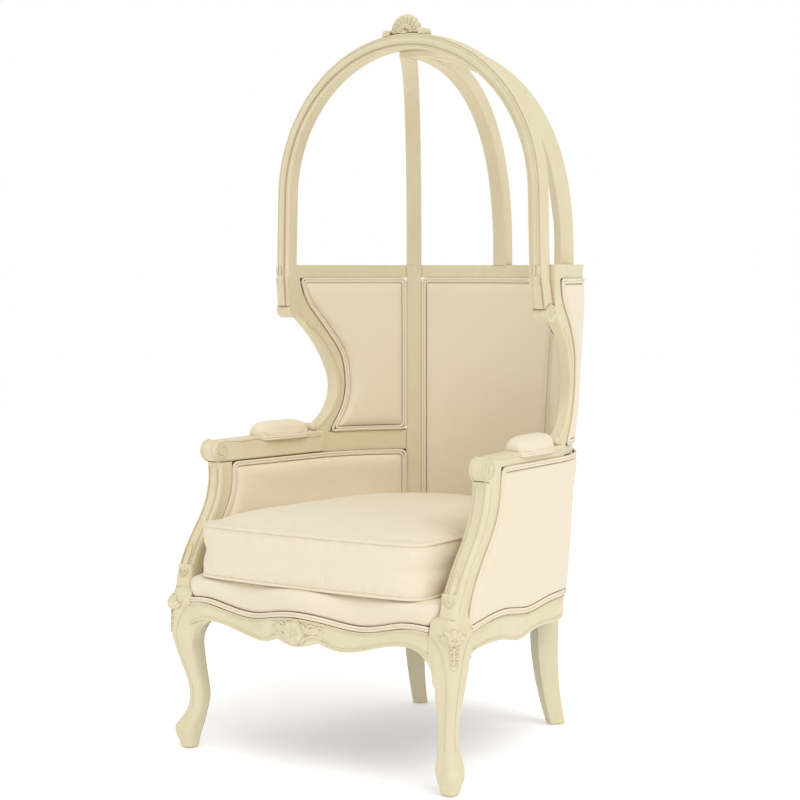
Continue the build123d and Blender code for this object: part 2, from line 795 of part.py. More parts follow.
def arch_band(inner, outer):
    """Half band along the arch between two offsets from its middle line."""
    lean = radians(arch_lean)
    ends = []
    for step in (inner, outer):
        radius = arch_radius + step
        spring = (radius * cos(lean), arch_centre_z + radius * sin(lean))
        foot = (spring[0] + (spring[1] - rail_low_z) * arch_lean_tan, rail_low_z)
        half = radians(45 + arch_lean / 2)
        middle = (radius * cos(half), arch_centre_z + radius * sin(half))
        ends.append((foot, spring, middle, (0, arch_centre_z + radius)))
    low, high = ends
    Line(high[0], high[1])
    ThreePointArc(high[1], high[2], high[3])
    Line(high[3], low[3])
    ThreePointArc(low[3], low[2], low[1])
    Line(low[1], low[0])
    Line(low[0], high[0])


def arch_foot(low_x, high_x, front_y, back_y):
    """Foot of the arch between two widths and two depths: it bends back down to the roll."""
    drift = arch_foot_out
    with BuildPart() as foot:
        with BuildSketch(Plane.XY.offset(rail_low_z)):
            with Locations(((low_x + high_x) / 2, (front_y + back_y) / 2)):
                Rectangle(high_x - low_x, back_y - front_y)
        with BuildSketch(Plane.XY.offset(arch_foot_low_z)):
            with Locations(((low_x + high_x) / 2 + drift, (front_y + back_y) / 2 + arch_foot_back)):
                Rectangle(high_x - low_x, back_y - front_y)
        loft(ruled=True)
    return foot.part


plug_z = rail_top_z - plug_drop
plug_xs = [arch_x(plug_z) + plug_out + side * plug_spacing / 2 for side in (-1, 1)]
plug_back_y = arch_front_y + plug_depth
screw_middle_y = plug_back_y + screw_length / 2
bead_low = arch_width / 2 - arch_bead_inset - arch_bead_width
bead_high = arch_width / 2 - arch_bead_inset
foot_x = arch_x(rail_low_z)
backward = (0, 1, 0)


def screw(x, gap=0.0):
    """Countersunk screw through the arch's foot into the top rail, or its hole with a gap."""
    with BuildPart() as body:
        add(pin((x, screw_middle_y, plug_z), backward, screw_radius + gap, screw_length + gap * 2))
        add(pin((x, plug_back_y + screw_head_height / 2, plug_z), backward, screw_head_radius + gap,
                screw_head_height + gap * 2))
    return body.part


def plug(x, gap=0.0):
    """Oblong wooden plug over a screw, or its pocket with a gap."""
    with BuildPart() as peg:
        with BuildSketch(Plane.XZ.offset(-plug_back_y)):
            with Locations((x, plug_z)):
                SlotOverall(plug_height + gap * 2, plug_width + gap * 2, rotation=90)
        extrude(amount=plug_depth + plug_stand)
    return peg.part


with BuildPart() as screw_holes:
    for x in plug_xs:
        add(screw(x, dowel_gap))
with BuildPart() as arch:
    with BuildSketch(Plane.XZ.offset(-arch_back_y)):
        with BuildLine():
            arch_band(-arch_width / 2, arch_width / 2)
        make_face()
    extrude(amount=arch_back_y - arch_face_y)
    long_edges = arch.faces().sort_by(Axis.Y)[0].edges().filter_by(lambda e: e.length > arch_width * 2)
    fillet(long_edges, arch_edge_radius)
    with BuildSketch(Plane.XZ.offset(-arch_face_y)):
        with BuildLine():
            arch_band(bead_low, bead_high)
        make_face()
    extrude(amount=arch_bead_depth)
    add(arch_foot(foot_x - arch_width / 2, foot_x + arch_width / 2, arch_face_y, arch_back_y))
    add(arch_foot(foot_x + bead_low, foot_x + bead_high, arch_front_y, arch_face_y))
    add(pin((roll_x, roll_y, roll_z), crosswise, roll_radius + fit_gap, roll_length * 2), mode=Mode.SUBTRACT)
    add(screw_holes.part, mode=Mode.SUBTRACT)
    for x in plug_xs:
        add(plug(x, dowel_gap), mode=Mode.SUBTRACT)
keep_pair("arch", bored(arch.part, [crown_joint, finial_joint]))

with BuildPart() as top_rail:
    add(wing_rail)
    add(screw_holes.part, mode=Mode.SUBTRACT)
keep_pair("top_rail", bored(top_rail.part, [wing_rail_joint, wing_head_joint]))

with BuildPart() as arch_screws:
    for x in plug_xs:
        add(screw(x))
    mirror(about=Plane.YZ)
keep("arch_screws", arch_screws.part)

with BuildPart() as arch_plugs:
    for x in plug_xs:
        add(plug(x))
    mirror(about=Plane.YZ)
keep("arch_plugs", arch_plugs.part)


# Dome ribs: each stands in an upright plane through the arch's crown
rib_rise = arch_crown_z - rib_crown_drop - rail_top_z


def rib_line(reach, rise):
    """Points on a quarter of a superellipse from the rail up to the crown."""
    points = []
    for step in range(rib_steps + 1):
        turn = radians(90 * step / rib_steps)
        across = abs(cos(turn)) ** (2 / rib_power)
        up = abs(sin(turn)) ** (2 / rib_power)
        points.append((reach * across, rail_top_z + rise * up))
    return points


def rib(foot):
    """Rib from a foot on the top rail to the crown of the arch."""
    reach = hypot(foot[0], foot[1] - arch_y)
    turn = atan2(foot[1] - arch_y, foot[0])
    half = rib_thickness / 2
    outer = rib_line(reach + half, rib_rise + half)
    inner = rib_line(reach - half, rib_rise - half)
    plane = Plane(origin=(0, arch_y, 0), x_dir=(cos(turn), sin(turn), 0), z_dir=(sin(turn), -cos(turn), 0))
    with BuildPart() as bow:
        with BuildSketch(plane):
            with BuildLine():
                Spline(*outer, tangents=[(0, 1), (-1, 0)])
                Line(outer[-1], inner[-1])
                Spline(*inner[::-1], tangents=[(1, 0), (0, -1)])
                Line(inner[0], outer[0])
            make_face()
        extrude(amount=rib_width / 2, both=True)
        fillet(bow.edges().filter_by(lambda e: e.length > rib_rise), rib_edge_radius)
    return bow.part


def behind_arch(near_x, far_x):
    """Room behind the arch between two distances from the middle plane."""
    return plan_prism_high([(near_x, arch_back_y), (far_x, arch_back_y), (far_x, barrel_reach), (near_x, barrel_reach)])


def plan_prism_high(points):
    """Upright block over a plan polygon, from the rail's top to above the crown."""
    with BuildPart() as prism:
        with BuildSketch(Plane.XY.offset(rail_top_z)):
            with BuildLine():
                Polyline(*points, close=True)
            make_face()
        extrude(amount=arch_crown_z - rail_top_z + overrun)
    return prism.part


with BuildPart() as rib_centre:
    add(rib((0, barrel_y + barrel_radius)))
    add(behind_arch(-barrel_reach, barrel_reach), mode=Mode.INTERSECT)
keep("rib_centre", bored(rib_centre.part, [rib_centre_joint]))

with BuildPart() as rib_corner:
    add(rib(stile_point(barrel_radius, 0)))
    add(behind_arch(rib_width / 2, barrel_reach), mode=Mode.INTERSECT)
keep_pair("rib", bored(rib_corner.part, [rib_corner_joint]))

# Shell finial: tapered flutes in a fan, between two small scrolls
finial_z = arch_crown_z + arch_width / 2
with BuildPart() as finial:
    for index in range(finial_flutes):
        turn = finial_fan_angle * (index / (finial_flutes - 1) - 0.5)
        reach = (finial_height - flute_radius) * (1 - finial_shoulder * (1 - cos(radians(turn))))
        with Locations(Location((0, arch_y, finial_z), (0, turn, 0))):
            Cone(flute_root_radius, flute_radius, reach, align=(Align.CENTER, Align.CENTER, Align.MIN))
        with Locations((reach * sin(radians(turn)), arch_y, finial_z + reach * cos(radians(turn)))):
            Sphere(flute_radius)
    with Locations(Location((0, arch_y, finial_z), (90, 0, 0))):
        Cylinder(flute_radius, finial_depth)
    for side in (-1, 1):
        with Locations(Location((side * finial_scroll_x, arch_y, finial_z), (90, 0, 0))):
            Cylinder(finial_scroll_radius, finial_depth)
    add(pin((0, arch_y, arch_centre_z), lengthwise, arch_radius + arch_width / 2, arch_depth * 2),
        mode=Mode.SUBTRACT)
keep("shell_finial", bored(finial.part, [finial_joint]))

# Upholstered panels: each has a base that fills its opening, a crowned field and a welt round it


def back_opening_block(inset):
    """Block through the back wall between the seat rail and the top rail, drawn in by an inset."""
    return level_block(seat_rail_top_z + inset, rail_low_z - inset)


def panel(block, bay, low, side, rise):
    """Pad on one side of the wall, inward for a side of -1, and the welt round it."""
    seat = half_wall - pad_seat
    levels = [side * fit_gap / 2, side * seat, side * (seat + welt_height), side * (half_wall + rise)]

    def layer(inset, start, end):
        ends = sorted((start, end))
        return cut_from(block(inset), shell(*ends), bay(low + inset))

    field = welt_width + fit_gap * 2
    with BuildPart() as pad:
        add(layer(fit_gap, levels[0], levels[1]))
        add(layer(field, levels[1], levels[2]))
        add(layer(field + (half_wall + rise - abs(levels[2])), levels[2], levels[3]))
    with BuildPart() as welt:
        add(layer(fit_gap, levels[1] + side * fit_gap, levels[2]))
        add(block_hole(block, bay, low, field - fit_gap), mode=Mode.SUBTRACT)
    return pad.part, welt.part


def block_hole(block, bay, low, inset):
    """Room inside a welt."""
    with BuildPart() as hole:
        add(block(inset))
        add(bay(low + inset), mode=Mode.INTERSECT)
    return hole.part


half_stile = stile_width / 2
side_panels = (
    ("wing_inner", lambda inset: side_prism(lambda: wing_opening(inset)), -1, pad_rise),
    ("wing_outer", lambda inset: side_prism(lambda: wing_opening(inset)), 1, outer_pad_rise),
    ("side_inner", lambda inset: side_prism(lambda: inner_side_opening(inset)), -1, pad_rise),
    ("side_outer", lambda inset: side_prism(lambda: outer_side_opening(inset)), 1, outer_pad_rise),
)
for name, block, side, rise in side_panels:
    pad, welt = panel(block, side_bay, half_stile, side, rise)
    keep_pair(name + "_pad", pad)
    keep_pair(name + "_welt", welt)
for name, side, rise in (("back_inner", -1, pad_rise), ("back_outer", 1, outer_pad_rise)):
    pad, welt = panel(back_opening_block, back_bay, half_stile, side, rise)
    keep(name + "_pad", pad)
    keep(name + "_welt", welt)


def arm_pad_outline():
    """Padded elbow rest on top of the arm, rounded at both ends."""
    start = arm_end_y - arm_pad_front
    end = start + arm_pad_length
    low = arm_top_z + fit_gap
    high = low + arm_pad_height
    round_end = arm_pad_height / 2
    Line((start, low), (end, low))
    ThreePointArc((end, low), (end + round_end / 2, low + round_end), (end - round_end / 2, high))
    Line((end - round_end / 2, high), (start + round_end / 2, high))
    ThreePointArc((start + round_end / 2, high), (start - round_end / 2, low + round_end), (start, low))


with BuildPart() as arm_pad:
    add(side_prism(arm_pad_outline))
    add(shell(-arm_pad_width / 2, arm_pad_width / 2), mode=Mode.INTERSECT)
    sides = arm_pad.faces().sort_by(Axis.X)
    fillet(sides.first.edges() + sides.last.edges(), arm_pad_edge)
keep_pair("arm_pad", arm_pad.part)

# Seat: webbing, deck, glue blocks and dust cover inside the rails
web_low_z = seat_rail_top_z - web_drop
deck_low_z = web_low_z + web_thickness * 2 + fit_gap * 2
inner_rail_offset = -half_wall - fit_gap


def post_room(gap):
    """Room taken by the two rear posts' blocks, with a gap."""
    with BuildPart() as room:
        add(post_slab(rear_block_width + gap * 2))
        add(shell(-rear_block_width / 2 - gap, half_wall + overrun), mode=Mode.INTERSECT)
        mirror(about=Plane.YZ)
    return room.part


def block_room(gap):
    """Room taken by the two front legs' blocks, with a gap."""
    with BuildPart() as room:
        with BuildSketch(Plane.XY):
            with Locations((front_leg_x, front_leg_y), (-front_leg_x, front_leg_y)):
                Rectangle(leg_block_width + gap * 2, leg_block_width + gap * 2)
        extrude(amount=leg_top_z + gap)
    return room.part


def seat_sheet(low_z, high_z, offset_, front_y):
    """Level sheet inside the seat rails from a front line back."""
    with BuildPart() as sheet:
        add(barrel(offset_))
        add(level_block(low_z, high_z), mode=Mode.INTERSECT)
        add(plan_prism([(-barrel_reach, front_y), (barrel_reach, front_y), (barrel_reach, barrel_reach),
                        (-barrel_reach, barrel_reach)]), mode=Mode.INTERSECT)
        add(block_room(fit_gap), mode=Mode.SUBTRACT)
        add(post_room(fit_gap), mode=Mode.SUBTRACT)
    return sheet.part


def strip(low_z, width, length, places):
    """Level strips of one layer of webbing."""
    with BuildPart() as layer:
        with BuildSketch(Plane.XY.offset(low_z)):
            with Locations(*places):
                Rectangle(width, length)
        extrude(amount=web_thickness)
    return layer.part


middle_web = (webs_lengthwise - 1) / 2
lengthwise_places = [((index - middle_web) * web_pitch, barrel_y) for index in range(webs_lengthwise)]
crosswise_places = [(0, rail_back_y + web_width + index * web_pitch) for index in range(webs_crosswise)]
with BuildPart() as seat_webbing:
    add(strip(web_low_z, web_width, barrel_reach * 2, lengthwise_places))
    add(strip(web_low_z + web_thickness + fit_gap, barrel_reach * 2, web_width, crosswise_places))
    add(seat_sheet(web_low_z, deck_low_z, inner_rail_offset, rail_back_y + fit_gap), mode=Mode.INTERSECT)
keep("seat_webbing", seat_webbing.part)

dust_low_z = leg_height - dust_cover_drop
keep("dust_cover", seat_sheet(dust_low_z, dust_low_z + dust_cover_thickness, inner_rail_offset, rail_back_y + fit_gap))

block_low_z = dust_low_z + dust_cover_thickness + fit_gap
with BuildPart() as corner_blocks:
    with BuildSketch(Plane.XY.offset(block_low_z)):
        with BuildLine():
            reach = (block_inner_x + barrel_radius, block_back_y)
            Polyline((block_inner_x - corner_block_leg, rail_back_y), (block_inner_x, rail_back_y),
                     (block_inner_x, block_back_y), reach, (reach[0], block_back_y + corner_block_leg),
                     (block_inner_x, block_back_y + corner_block_leg), close=True)
        make_face()
    extrude(amount=corner_block_height)
    add(barrel(-half_wall), mode=Mode.INTERSECT)
    mirror(about=Plane.YZ)
keep("corner_blocks", corner_blocks.part)

deck_offset = -half_wall - pad_rise - deck_side_gap
with BuildPart() as seat_deck:
    add(barrel(deck_offset))
    add(level_block(deck_low_z, deck_top_z), mode=Mode.INTERSECT)
    add(rail_plan(deck_set_back, barrel_reach), mode=Mode.INTERSECT)
    add(rail_front(fit_gap, rail_back_y + fit_gap), mode=Mode.SUBTRACT)
    rim = seat_deck.faces().sort_by(Axis.Z)[-1].edges()
    fillet(rim, deck_edge_radius)
keep("seat_deck", seat_deck.part)

with BuildPart() as seat_rail_welt:
    add(rail_plan(deck_welt_inset, rail_back_y))
    add(rail_plan(deck_set_back - fit_gap, barrel_reach), mode=Mode.SUBTRACT)
    add(rail_front(fit_gap + welt_width, rail_back_y), mode=Mode.INTERSECT)
    add(rail_front(fit_gap, rail_back_y), mode=Mode.SUBTRACT)
keep("seat_rail_welt", seat_rail_welt.part)

# Loose cushion: welted edges, drawn-in border, crowned top and a shallow belly
cushion_low_z = deck_top_z + fit_gap
cushion_seam_z = cushion_low_z + cushion_belly
cushion_top_z = cushion_seam_z + cushion_border
crown_shares = ((0.0, 0.0), (0.17, 0.4), (0.42, 0.72), (0.7, 0.92), (1.0, 1.0))


def cushion_outline(z, inset):
    """Cushion's plan at a height, drawn in by an inset."""
    radius = cushion_back_radius - inset
    splay = radians(cushion_splay)
    front = barrel_y - cushion_front_ahead + inset
    half = (radius + (barrel_y - front) * sin(splay)) / cos(splay)
    side = (radius * cos(splay), barrel_y + radius * sin(splay))
    with BuildSketch(Plane.XY.offset(z)) as plan:
        with BuildLine():
            ThreePointArc((-half, front), (0, front - cushion_front_bow), (half, front))
            Line((half, front), side)
            ThreePointArc(side, (0, barrel_y + radius), (-side[0], side[1]))
            Line((-side[0], side[1]), (-half, front))
        make_face()
        fillet(plan.vertices().group_by(Axis.Y)[0], cushion_corner_radius)
    return plan.sketch.face()


def cushion_layer(sections):
    """Loft through the cushion's outlines, given as heights and insets."""
    with BuildPart() as layer:
        loft([cushion_outline(z, inset) for z, inset in sections])
    return layer.part


def cushion_piping(z):
    """Round piping sewn into the seam at a height."""
    seam = cushion_outline(z, 0).outer_wire()
    start = seam.edges().sort_by(Axis.Y)[-1]
    with BuildPart() as cord:
        with BuildSketch(Plane(origin=start @ 0.5, z_dir=start % 0.5)):
            Circle(piping_radius)
        sweep(path=seam)
    return cord.part


with BuildPart() as seat_cushion:
    add(cushion_layer([(cushion_low_z, cushion_belly_inset), (cushion_seam_z, 0)]))
    add(cushion_layer([(cushion_seam_z, 0), (cushion_seam_z + cushion_border / 2, cushion_draw), (cushion_top_z, 0)]))
    add(cushion_layer([(cushion_top_z + rise * cushion_crown, inset * cushion_crown_inset)
                       for inset, rise in crown_shares]))
    add(cushion_piping(cushion_seam_z))
    add(cushion_piping(cushion_top_z))
keep("seat_cushion", seat_cushion.part)

# Glides under the four feet
rear_foot = stile_point(middle_radius(rear_loft_top_z), 0)
rear_foot = (rear_foot[0] + rear_foot_out, rear_foot[1] + rear_foot_back)
with BuildPart() as foot_glides:
    with BuildSketch(Plane.XY):
        with Locations((front_leg_x, front_leg_y), rear_foot):
            Circle(glide_radius)
    extrude(amount=glide_height)
    mirror(about=Plane.YZ)
keep("foot_glides", foot_glides.part)

# Dowels of the whole frame
with BuildPart() as frame_dowels:
    for centre, direction in mirrored_joints(paired_joints) + [rib_centre_joint, crown_joint, finial_joint]:
        add(pin(centre, direction))
keep("frame_dowels", frame_dowels.part)

for name, part in pieces.items():
    export_step(part, f"parts/{name}.step")
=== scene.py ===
"""Looks of a dome-topped throne chair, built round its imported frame.

Lengths are metres in the frame's axes: X across, the chair faces -Y, Z up. The side, wing and back
panels all lie on one leaning horseshoe wall, so their points are given as a place along the wall,
a height and a distance out from the wall's middle. Run as a script, it builds the whole chair.
"""
import json
import math

import bmesh
import bpy
import numpy as np
from bpy.props import FloatProperty, FloatVectorProperty, PointerProperty
from bpy.types import Operator, Panel, PropertyGroup
from mathutils import Matrix, Vector
from mathutils.bvhtree import BVHTree


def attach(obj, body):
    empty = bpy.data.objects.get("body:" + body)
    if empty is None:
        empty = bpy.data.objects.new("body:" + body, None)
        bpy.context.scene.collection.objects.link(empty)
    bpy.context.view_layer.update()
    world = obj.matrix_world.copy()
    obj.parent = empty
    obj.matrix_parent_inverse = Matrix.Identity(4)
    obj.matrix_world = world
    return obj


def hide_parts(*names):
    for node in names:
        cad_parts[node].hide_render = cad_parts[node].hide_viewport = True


MATERIALS = {}
LEG_TREE = []

bl_info = {
    "name": "Dome Throne Chair",
    "version": (1, 0, 0),
    "blender": (4, 5, 0),
    "location": "View3D > Sidebar > Chair",
    "description": "Builds the upholstery, carving and finishes of a dome-topped throne chair",
    "category": "Object",
}

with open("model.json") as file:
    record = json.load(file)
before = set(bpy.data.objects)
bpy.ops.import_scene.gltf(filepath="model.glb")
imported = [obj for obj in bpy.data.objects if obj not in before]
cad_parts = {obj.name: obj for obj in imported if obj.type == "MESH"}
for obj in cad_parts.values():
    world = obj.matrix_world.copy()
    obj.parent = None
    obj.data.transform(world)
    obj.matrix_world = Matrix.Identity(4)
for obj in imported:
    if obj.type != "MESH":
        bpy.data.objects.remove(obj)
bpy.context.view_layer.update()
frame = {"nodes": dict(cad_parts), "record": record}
NODES = frame["nodes"]

# The leaning horseshoe wall, as the frame has it
WALL_RADIUS = 0.3687
WALL_Y = 0.038
WALL_TOP = 1.108
LEAN = math.tan(math.radians(3.0))
SPLAY = math.radians(4.8)
HALF_WALL = 0.016
STILE_ANGLE = math.radians(53.7)
STILE_HALF = 0.018

# Upholstery
FIELD_INSET = 0.0125
FIELD_EDGE = 0.028
FIELD_DRIFT = 0.0006
FIELD_BACK = 0.002
WELT_INSETS = (0.0033, 0.0088)
WELT_SIZE = (0.0031, 0.0034)
PIPING_SIZE = (0.0034, 0.0034)
REST_WELT_SIZE = (0.0027, 0.0027)
STUFFING_PRESSURE = 4.0
STUFFING_SHRINK = -0.012

# Half width and height of the thin raised lines
ARCH_BEAD = (0.0014, 0.0013)
RAIL_BEAD = (0.0015, 0.0013)
LEG_BEAD = (0.0014, 0.0012)
POST_BEAD = (0.0016, 0.0014)
VOLUTE_BEAD = (0.0019, 0.0017)
RIM_BEAD = (0.0022, 0.0018)
BEAD_STEP = 0.0075

# Planes in front of the wood from which carving and lines are laid on it
RAIL_FRONT_Y = -0.42
ARCH_FRONT_Y = -0.03
FINIAL_FRONT_Y = -0.02

# Heights
LEG_TOP = 0.375
RAIL_TOP = 0.345
ARM_LOW = 0.650
ARM_TOP = 0.704
MID_RAIL_TOP = 0.698
TOP_RAIL_LOW = 1.077
DECK_TOP = 0.407

# Side openings, in Y and Z
BLOCK_BACK_Y = -0.321
BLOCK_FRONT_Y = -0.389
BLOCK_INNER_X = 0.328
SUPPORT_SHARES = ((0, 0), (0.05, 0.09), (0.24, 0.27), (0.53, 0.455), (0.8, 0.62), (0.957, 0.78), (1, 1))
SUPPORT_EDGE = np.array([(-0.376 + a * 0.117, LEG_TOP + b * (ARM_LOW - LEG_TOP)) for a, b in SUPPORT_SHARES])
WING_OPEN_SHARES = (
    (0.0, 0.0), (0.45, 0.095), (0.71, 0.161), (0.94, 0.272), (0.96, 0.385), (0.83, 0.496), (0.3, 0.625),
    (-0.46, 0.755), (-1.12, 0.873), (-1.4, 1.0),
)
WING_OPEN = np.array([(0.118 + a * 0.053, MID_RAIL_TOP + b * (TOP_RAIL_LOW - MID_RAIL_TOP))
                      for a, b in WING_OPEN_SHARES])
SILL_SHARES = ((0, -0.6), (0.14, 0.4), (0.27, 0.55), (0.4, -0.3), (0.57, 0.6), (0.8, -0.1), (1, 0))
SILL_RUN = WALL_Y + WALL_RADIUS - (WALL_TOP - RAIL_TOP) * LEAN - BLOCK_BACK_Y
SILL = np.array([(BLOCK_BACK_Y + a * SILL_RUN, RAIL_TOP + b * 0.012) for a, b in SILL_SHARES])
RAIL_LINE_SHARES = ((-1.0, -0.1), (-0.817, 0.05), (-0.65, -0.55), (-0.448, -1.05), (-0.24, -0.5), (0.0, 0.0),
                    (0.24, -0.5), (0.448, -1.05), (0.65, -0.55), (0.817, 0.05), (1.0, -0.1))
RAIL_LINE = np.array([(a * BLOCK_INNER_X, RAIL_TOP + b * 0.018) for a, b in RAIL_LINE_SHARES])
RAIL_PLAN_SHARES = ((-1.0, 0.0), (-0.76, 0.19), (-0.46, 0.06), (0.0, 1.0), (0.46, 0.06), (0.76, 0.19),
                    (1.0, 0.0))
RAIL_PLAN = np.array([(a * BLOCK_INNER_X, BLOCK_FRONT_Y - b * 0.031) for a, b in RAIL_PLAN_SHARES])

# Lines and places that the mouldings and carving follow
RAIL_LOW_SHARES = ((0.2, -0.5), (0.305, -1.35), (0.48, -1.0), (0.64, 0.0), (0.86, 0.6), (1.0, -0.5))
RAIL_LOW = np.array([(a * BLOCK_INNER_X, 0.300 + b * 0.014) for a, b in RAIL_LOW_SHARES])
SIDE_LOW_SHARES = ((0, -0.6), (0.1, 0.3), (0.27, 0.1), (0.36, -0.75), (0.45, 0.1), (0.62, 0.35), (1, -0.2))
SIDE_LOW = np.array([(BLOCK_BACK_Y + a * SILL_RUN, 0.293 + b * 0.012) for a, b in SIDE_LOW_SHARES])
WING_EDGE_SHARES = ((0.0, 0.0), (0.37, 0.045), (0.76, 0.125), (0.98, 0.222), (1.0, 0.355), (0.83, 0.47),
                    (0.52, 0.592), (0.07, 0.7))
WING_EDGE = np.array([(0.056 + a * 0.089, ARM_TOP + b * 0.373) for a, b in WING_EDGE_SHARES])
LEG_LINE = ((0.061, 0.338), (0.050, 0.331), (0.038, 0.317), (0.028, 0.298), (0.0215, 0.272), (0.017, 0.235),
            (0.0145, 0.19), (0.0135, 0.14), (0.0145, 0.095))
CARTOUCHE_Z = 0.3145
KNEE_FLOWER_Z = 0.335
ARCH_Z = 1.265
ARCH_RADIUS = 0.352
ARCH_LEAN = math.radians(1.5)
ARCH_CROWN = 1.6345
HANDS = ((1, "right"), (-1, "left"))
UP = np.array([0.0, 0.0, 1.0])
REARWARD = np.array([0.0, 1.0, 0.0])
SCROLL = (-0.250, 0.676)
ROLL = (0.384, 0.011, 1.0)
WING_LEAF = (0.080, 0.966)
FOOT_SCROLL = (0.070, 0.7125)

# The photograph's camera, fitted to a chair 1.70 m high: pixels, degrees and metres
PHOTO_PIXELS = 800.0
PHOTO_FOCAL = 1961.0
PHOTO_AZIMUTH = math.radians(35.62)
PHOTO_PITCH = math.radians(3.75)
PHOTO_SCALE = 1.68 / 1.70
PHOTO_DISTANCE = 4.591
PHOTO_AIM_Z = 0.805
PHOTO_SHIFT = -0.014
PHOTO_MIDDLE_Y = -0.006
SENSOR = 36.0

# Lamps: place, spread in degrees and strength
LAMPS = {
    "key_lamp": ((2.4, -1.2, 4.4), 40.0, 1.3),
    "fill_lamp": ((-2.0, -3.2, 2.2), 70.0, 0.22),
}
LAMP_AIM = (0, 0, 0.8)
SKY_LIGHT = 0.7
FLOOR_REACH = 9


def srgb(red, green, blue):
    """A display colour, 0 to 255, as linear light with full alpha."""
    c = np.array([red, green, blue]) / 255.0
    linear = np.where(c <= 0.04045, c / 12.92, ((c + 0.055) / 1.055) ** 2.4)
    return (*linear, 1.0)


# Curves


def unit(vectors):
    """Vectors of length one."""
    return vectors / np.linalg.norm(vectors, axis=-1, keepdims=True)


def at(x, y, z):
    """Points from their coordinates, each an array or one number for all."""
    return np.stack(np.broadcast_arrays(x, y, z), -1)


def run_along(points):
    """Distance along a polyline at each of its points."""
    return np.concatenate(([0], np.cumsum(np.linalg.norm(np.diff(points, axis=0), axis=1))))


def drawn_in(line, inset, axis=0):
    """Line moved square to its slope by an inset, its points shifted along the first or the second axis."""
    slope = np.gradient(line[:, axis], line[:, 1 - axis])
    moved = line.copy()
    moved[:, axis] += inset * np.hypot(1, slope)
    return moved


def spline(points, count):
    """Natural cubic through points, spaced by chord length and read at evenly spaced places.

    Each span is the usual cubic whose second derivatives solve the natural spline's equations.
    """
    points = np.asarray(points, float)
    knots = run_along(points)
    return spline_at(knots, points, np.linspace(0, knots[-1], count))


def spline_at(knots, values, places):
    """Natural cubic through values at knots, read at places."""
    knots = np.asarray(knots, float)
    values = np.asarray(values, float).reshape(len(knots), -1)
    gap = np.diff(knots)
    slope = np.diff(values, axis=0) / gap[:, None]
    size = len(knots)
    system = np.eye(size)
    right = np.zeros_like(values)
    inner = np.arange(1, size - 1)
    system[inner, inner - 1] = gap[:-1]
    system[inner, inner] = 2 * (gap[:-1] + gap[1:])
    system[inner, inner + 1] = gap[1:]
    right[inner] = 6 * (slope[1:] - slope[:-1])
    bend = np.linalg.solve(system, right)
    span = np.clip(np.searchsorted(knots, places, side="right") - 1, 0, size - 2)
    t = (places - knots[span])[:, None]
    h = gap[span][:, None]
    left = h - t
    out = (bend[span] * left ** 3 + bend[span + 1] * t ** 3) / (6 * h)
    near = values[span] / h - bend[span] * h / 6
    far = values[span + 1] / h - bend[span + 1] * h / 6
    out += near * left + far * t
    return out


def resampled(points, count, closed=False):
    """Points at even steps along a polyline."""
    points = np.asarray(points, float)
    if closed:
        points = np.vstack([points, points[:1]])
    run = run_along(points)
    places = np.linspace(0, run[-1], count, endpoint=not closed)
    return np.stack([np.interp(places, run, points[:, k]) for k in range(points.shape[1])], 1)


def softened(points, steps):
    """Closed polyline with its corners rounded by averaging each point with its neighbours, steps times."""
    for _ in range(steps):
        points = (np.roll(points, 1, 0) + 2 * points + np.roll(points, -1, 0)) / 4
    return points


# Wall


def middle_radius(z):
    """Radius of the wall's middle at a height: it grows evenly with height, by the lean."""
    return WALL_RADIUS - (WALL_TOP - z) * LEAN


def side_wall(y, z, offset):
    """Point of the right-hand wall at a Y and a height, a distance out from the wall's middle.

    In front of the tangent point the wall is straight and splayed, behind it a circle round the
    barrel's centre.
    """
    radius = middle_radius(z) + offset
    straight = (radius + (WALL_Y - y) * math.sin(SPLAY)) / math.cos(SPLAY)
    circle = np.sqrt(np.maximum(radius ** 2 - (y - WALL_Y) ** 2, 0))
    x = np.where(y < WALL_Y + radius * math.sin(SPLAY), straight, circle)
    return at(x, y, z)


def back_wall(turn, z, offset):
    """Point of the back wall at an angle round the barrel's centre and a height."""
    radius = middle_radius(z) + offset
    return at(radius * np.cos(turn), WALL_Y + radius * np.sin(turn), z)


def stile_y(z, offset, inset):
    """Y where the wall meets the rear post's front face, an inset ahead of it."""
    reach = np.sqrt((middle_radius(z) + offset) ** 2 - (STILE_HALF + inset) ** 2)
    return WALL_Y + math.sin(STILE_ANGLE) * reach - math.cos(STILE_ANGLE) * (STILE_HALF + inset)


def stile_turn(z, offset, inset):
    """Angle where the wall meets the rear post's rear face, an inset behind it."""
    return STILE_ANGLE + np.arcsin((STILE_HALF + inset) / (middle_radius(z) + offset))


# Mesh


def make_object(name, vertices, faces, uv=None, smooth=True):
    """Mesh object at the origin from arrays of points and of corners, with an optional UV for each point."""
    mesh = bpy.data.meshes.new(name)
    mesh.from_pydata(vertices.tolist(), [], faces.tolist())
    if uv is not None:
        layer = mesh.uv_layers.new(name="UVMap")
        corner = np.empty(len(mesh.loops), np.int32)
        mesh.loops.foreach_get("vertex_index", corner)
        layer.data.foreach_set("uv", uv[corner].astype(np.float32).ravel())
    mesh.polygons.foreach_set("use_smooth", np.full(len(mesh.polygons), smooth))
    mesh.update()
    piece = bpy.data.objects.new(name, mesh)
    bpy.context.scene.collection.objects.link(piece)
    return piece


def grid_faces(rows, columns, wrap_rows=False, wrap_columns=False):
    """Corner numbers of the quads of a grid of points, wrapped round where asked."""
    i = np.arange(rows if wrap_rows else rows - 1)[:, None]
    j = np.arange(columns if wrap_columns else columns - 1)[None, :]
    below, beside = (i + 1) % rows, (j + 1) % columns
    corners = [i * columns + j, i * columns + beside, below * columns + beside, below * columns + j]
    return np.stack([np.broadcast_to(c, (i.shape[0], j.shape[1])) for c in corners], -1).reshape(-1, 4)


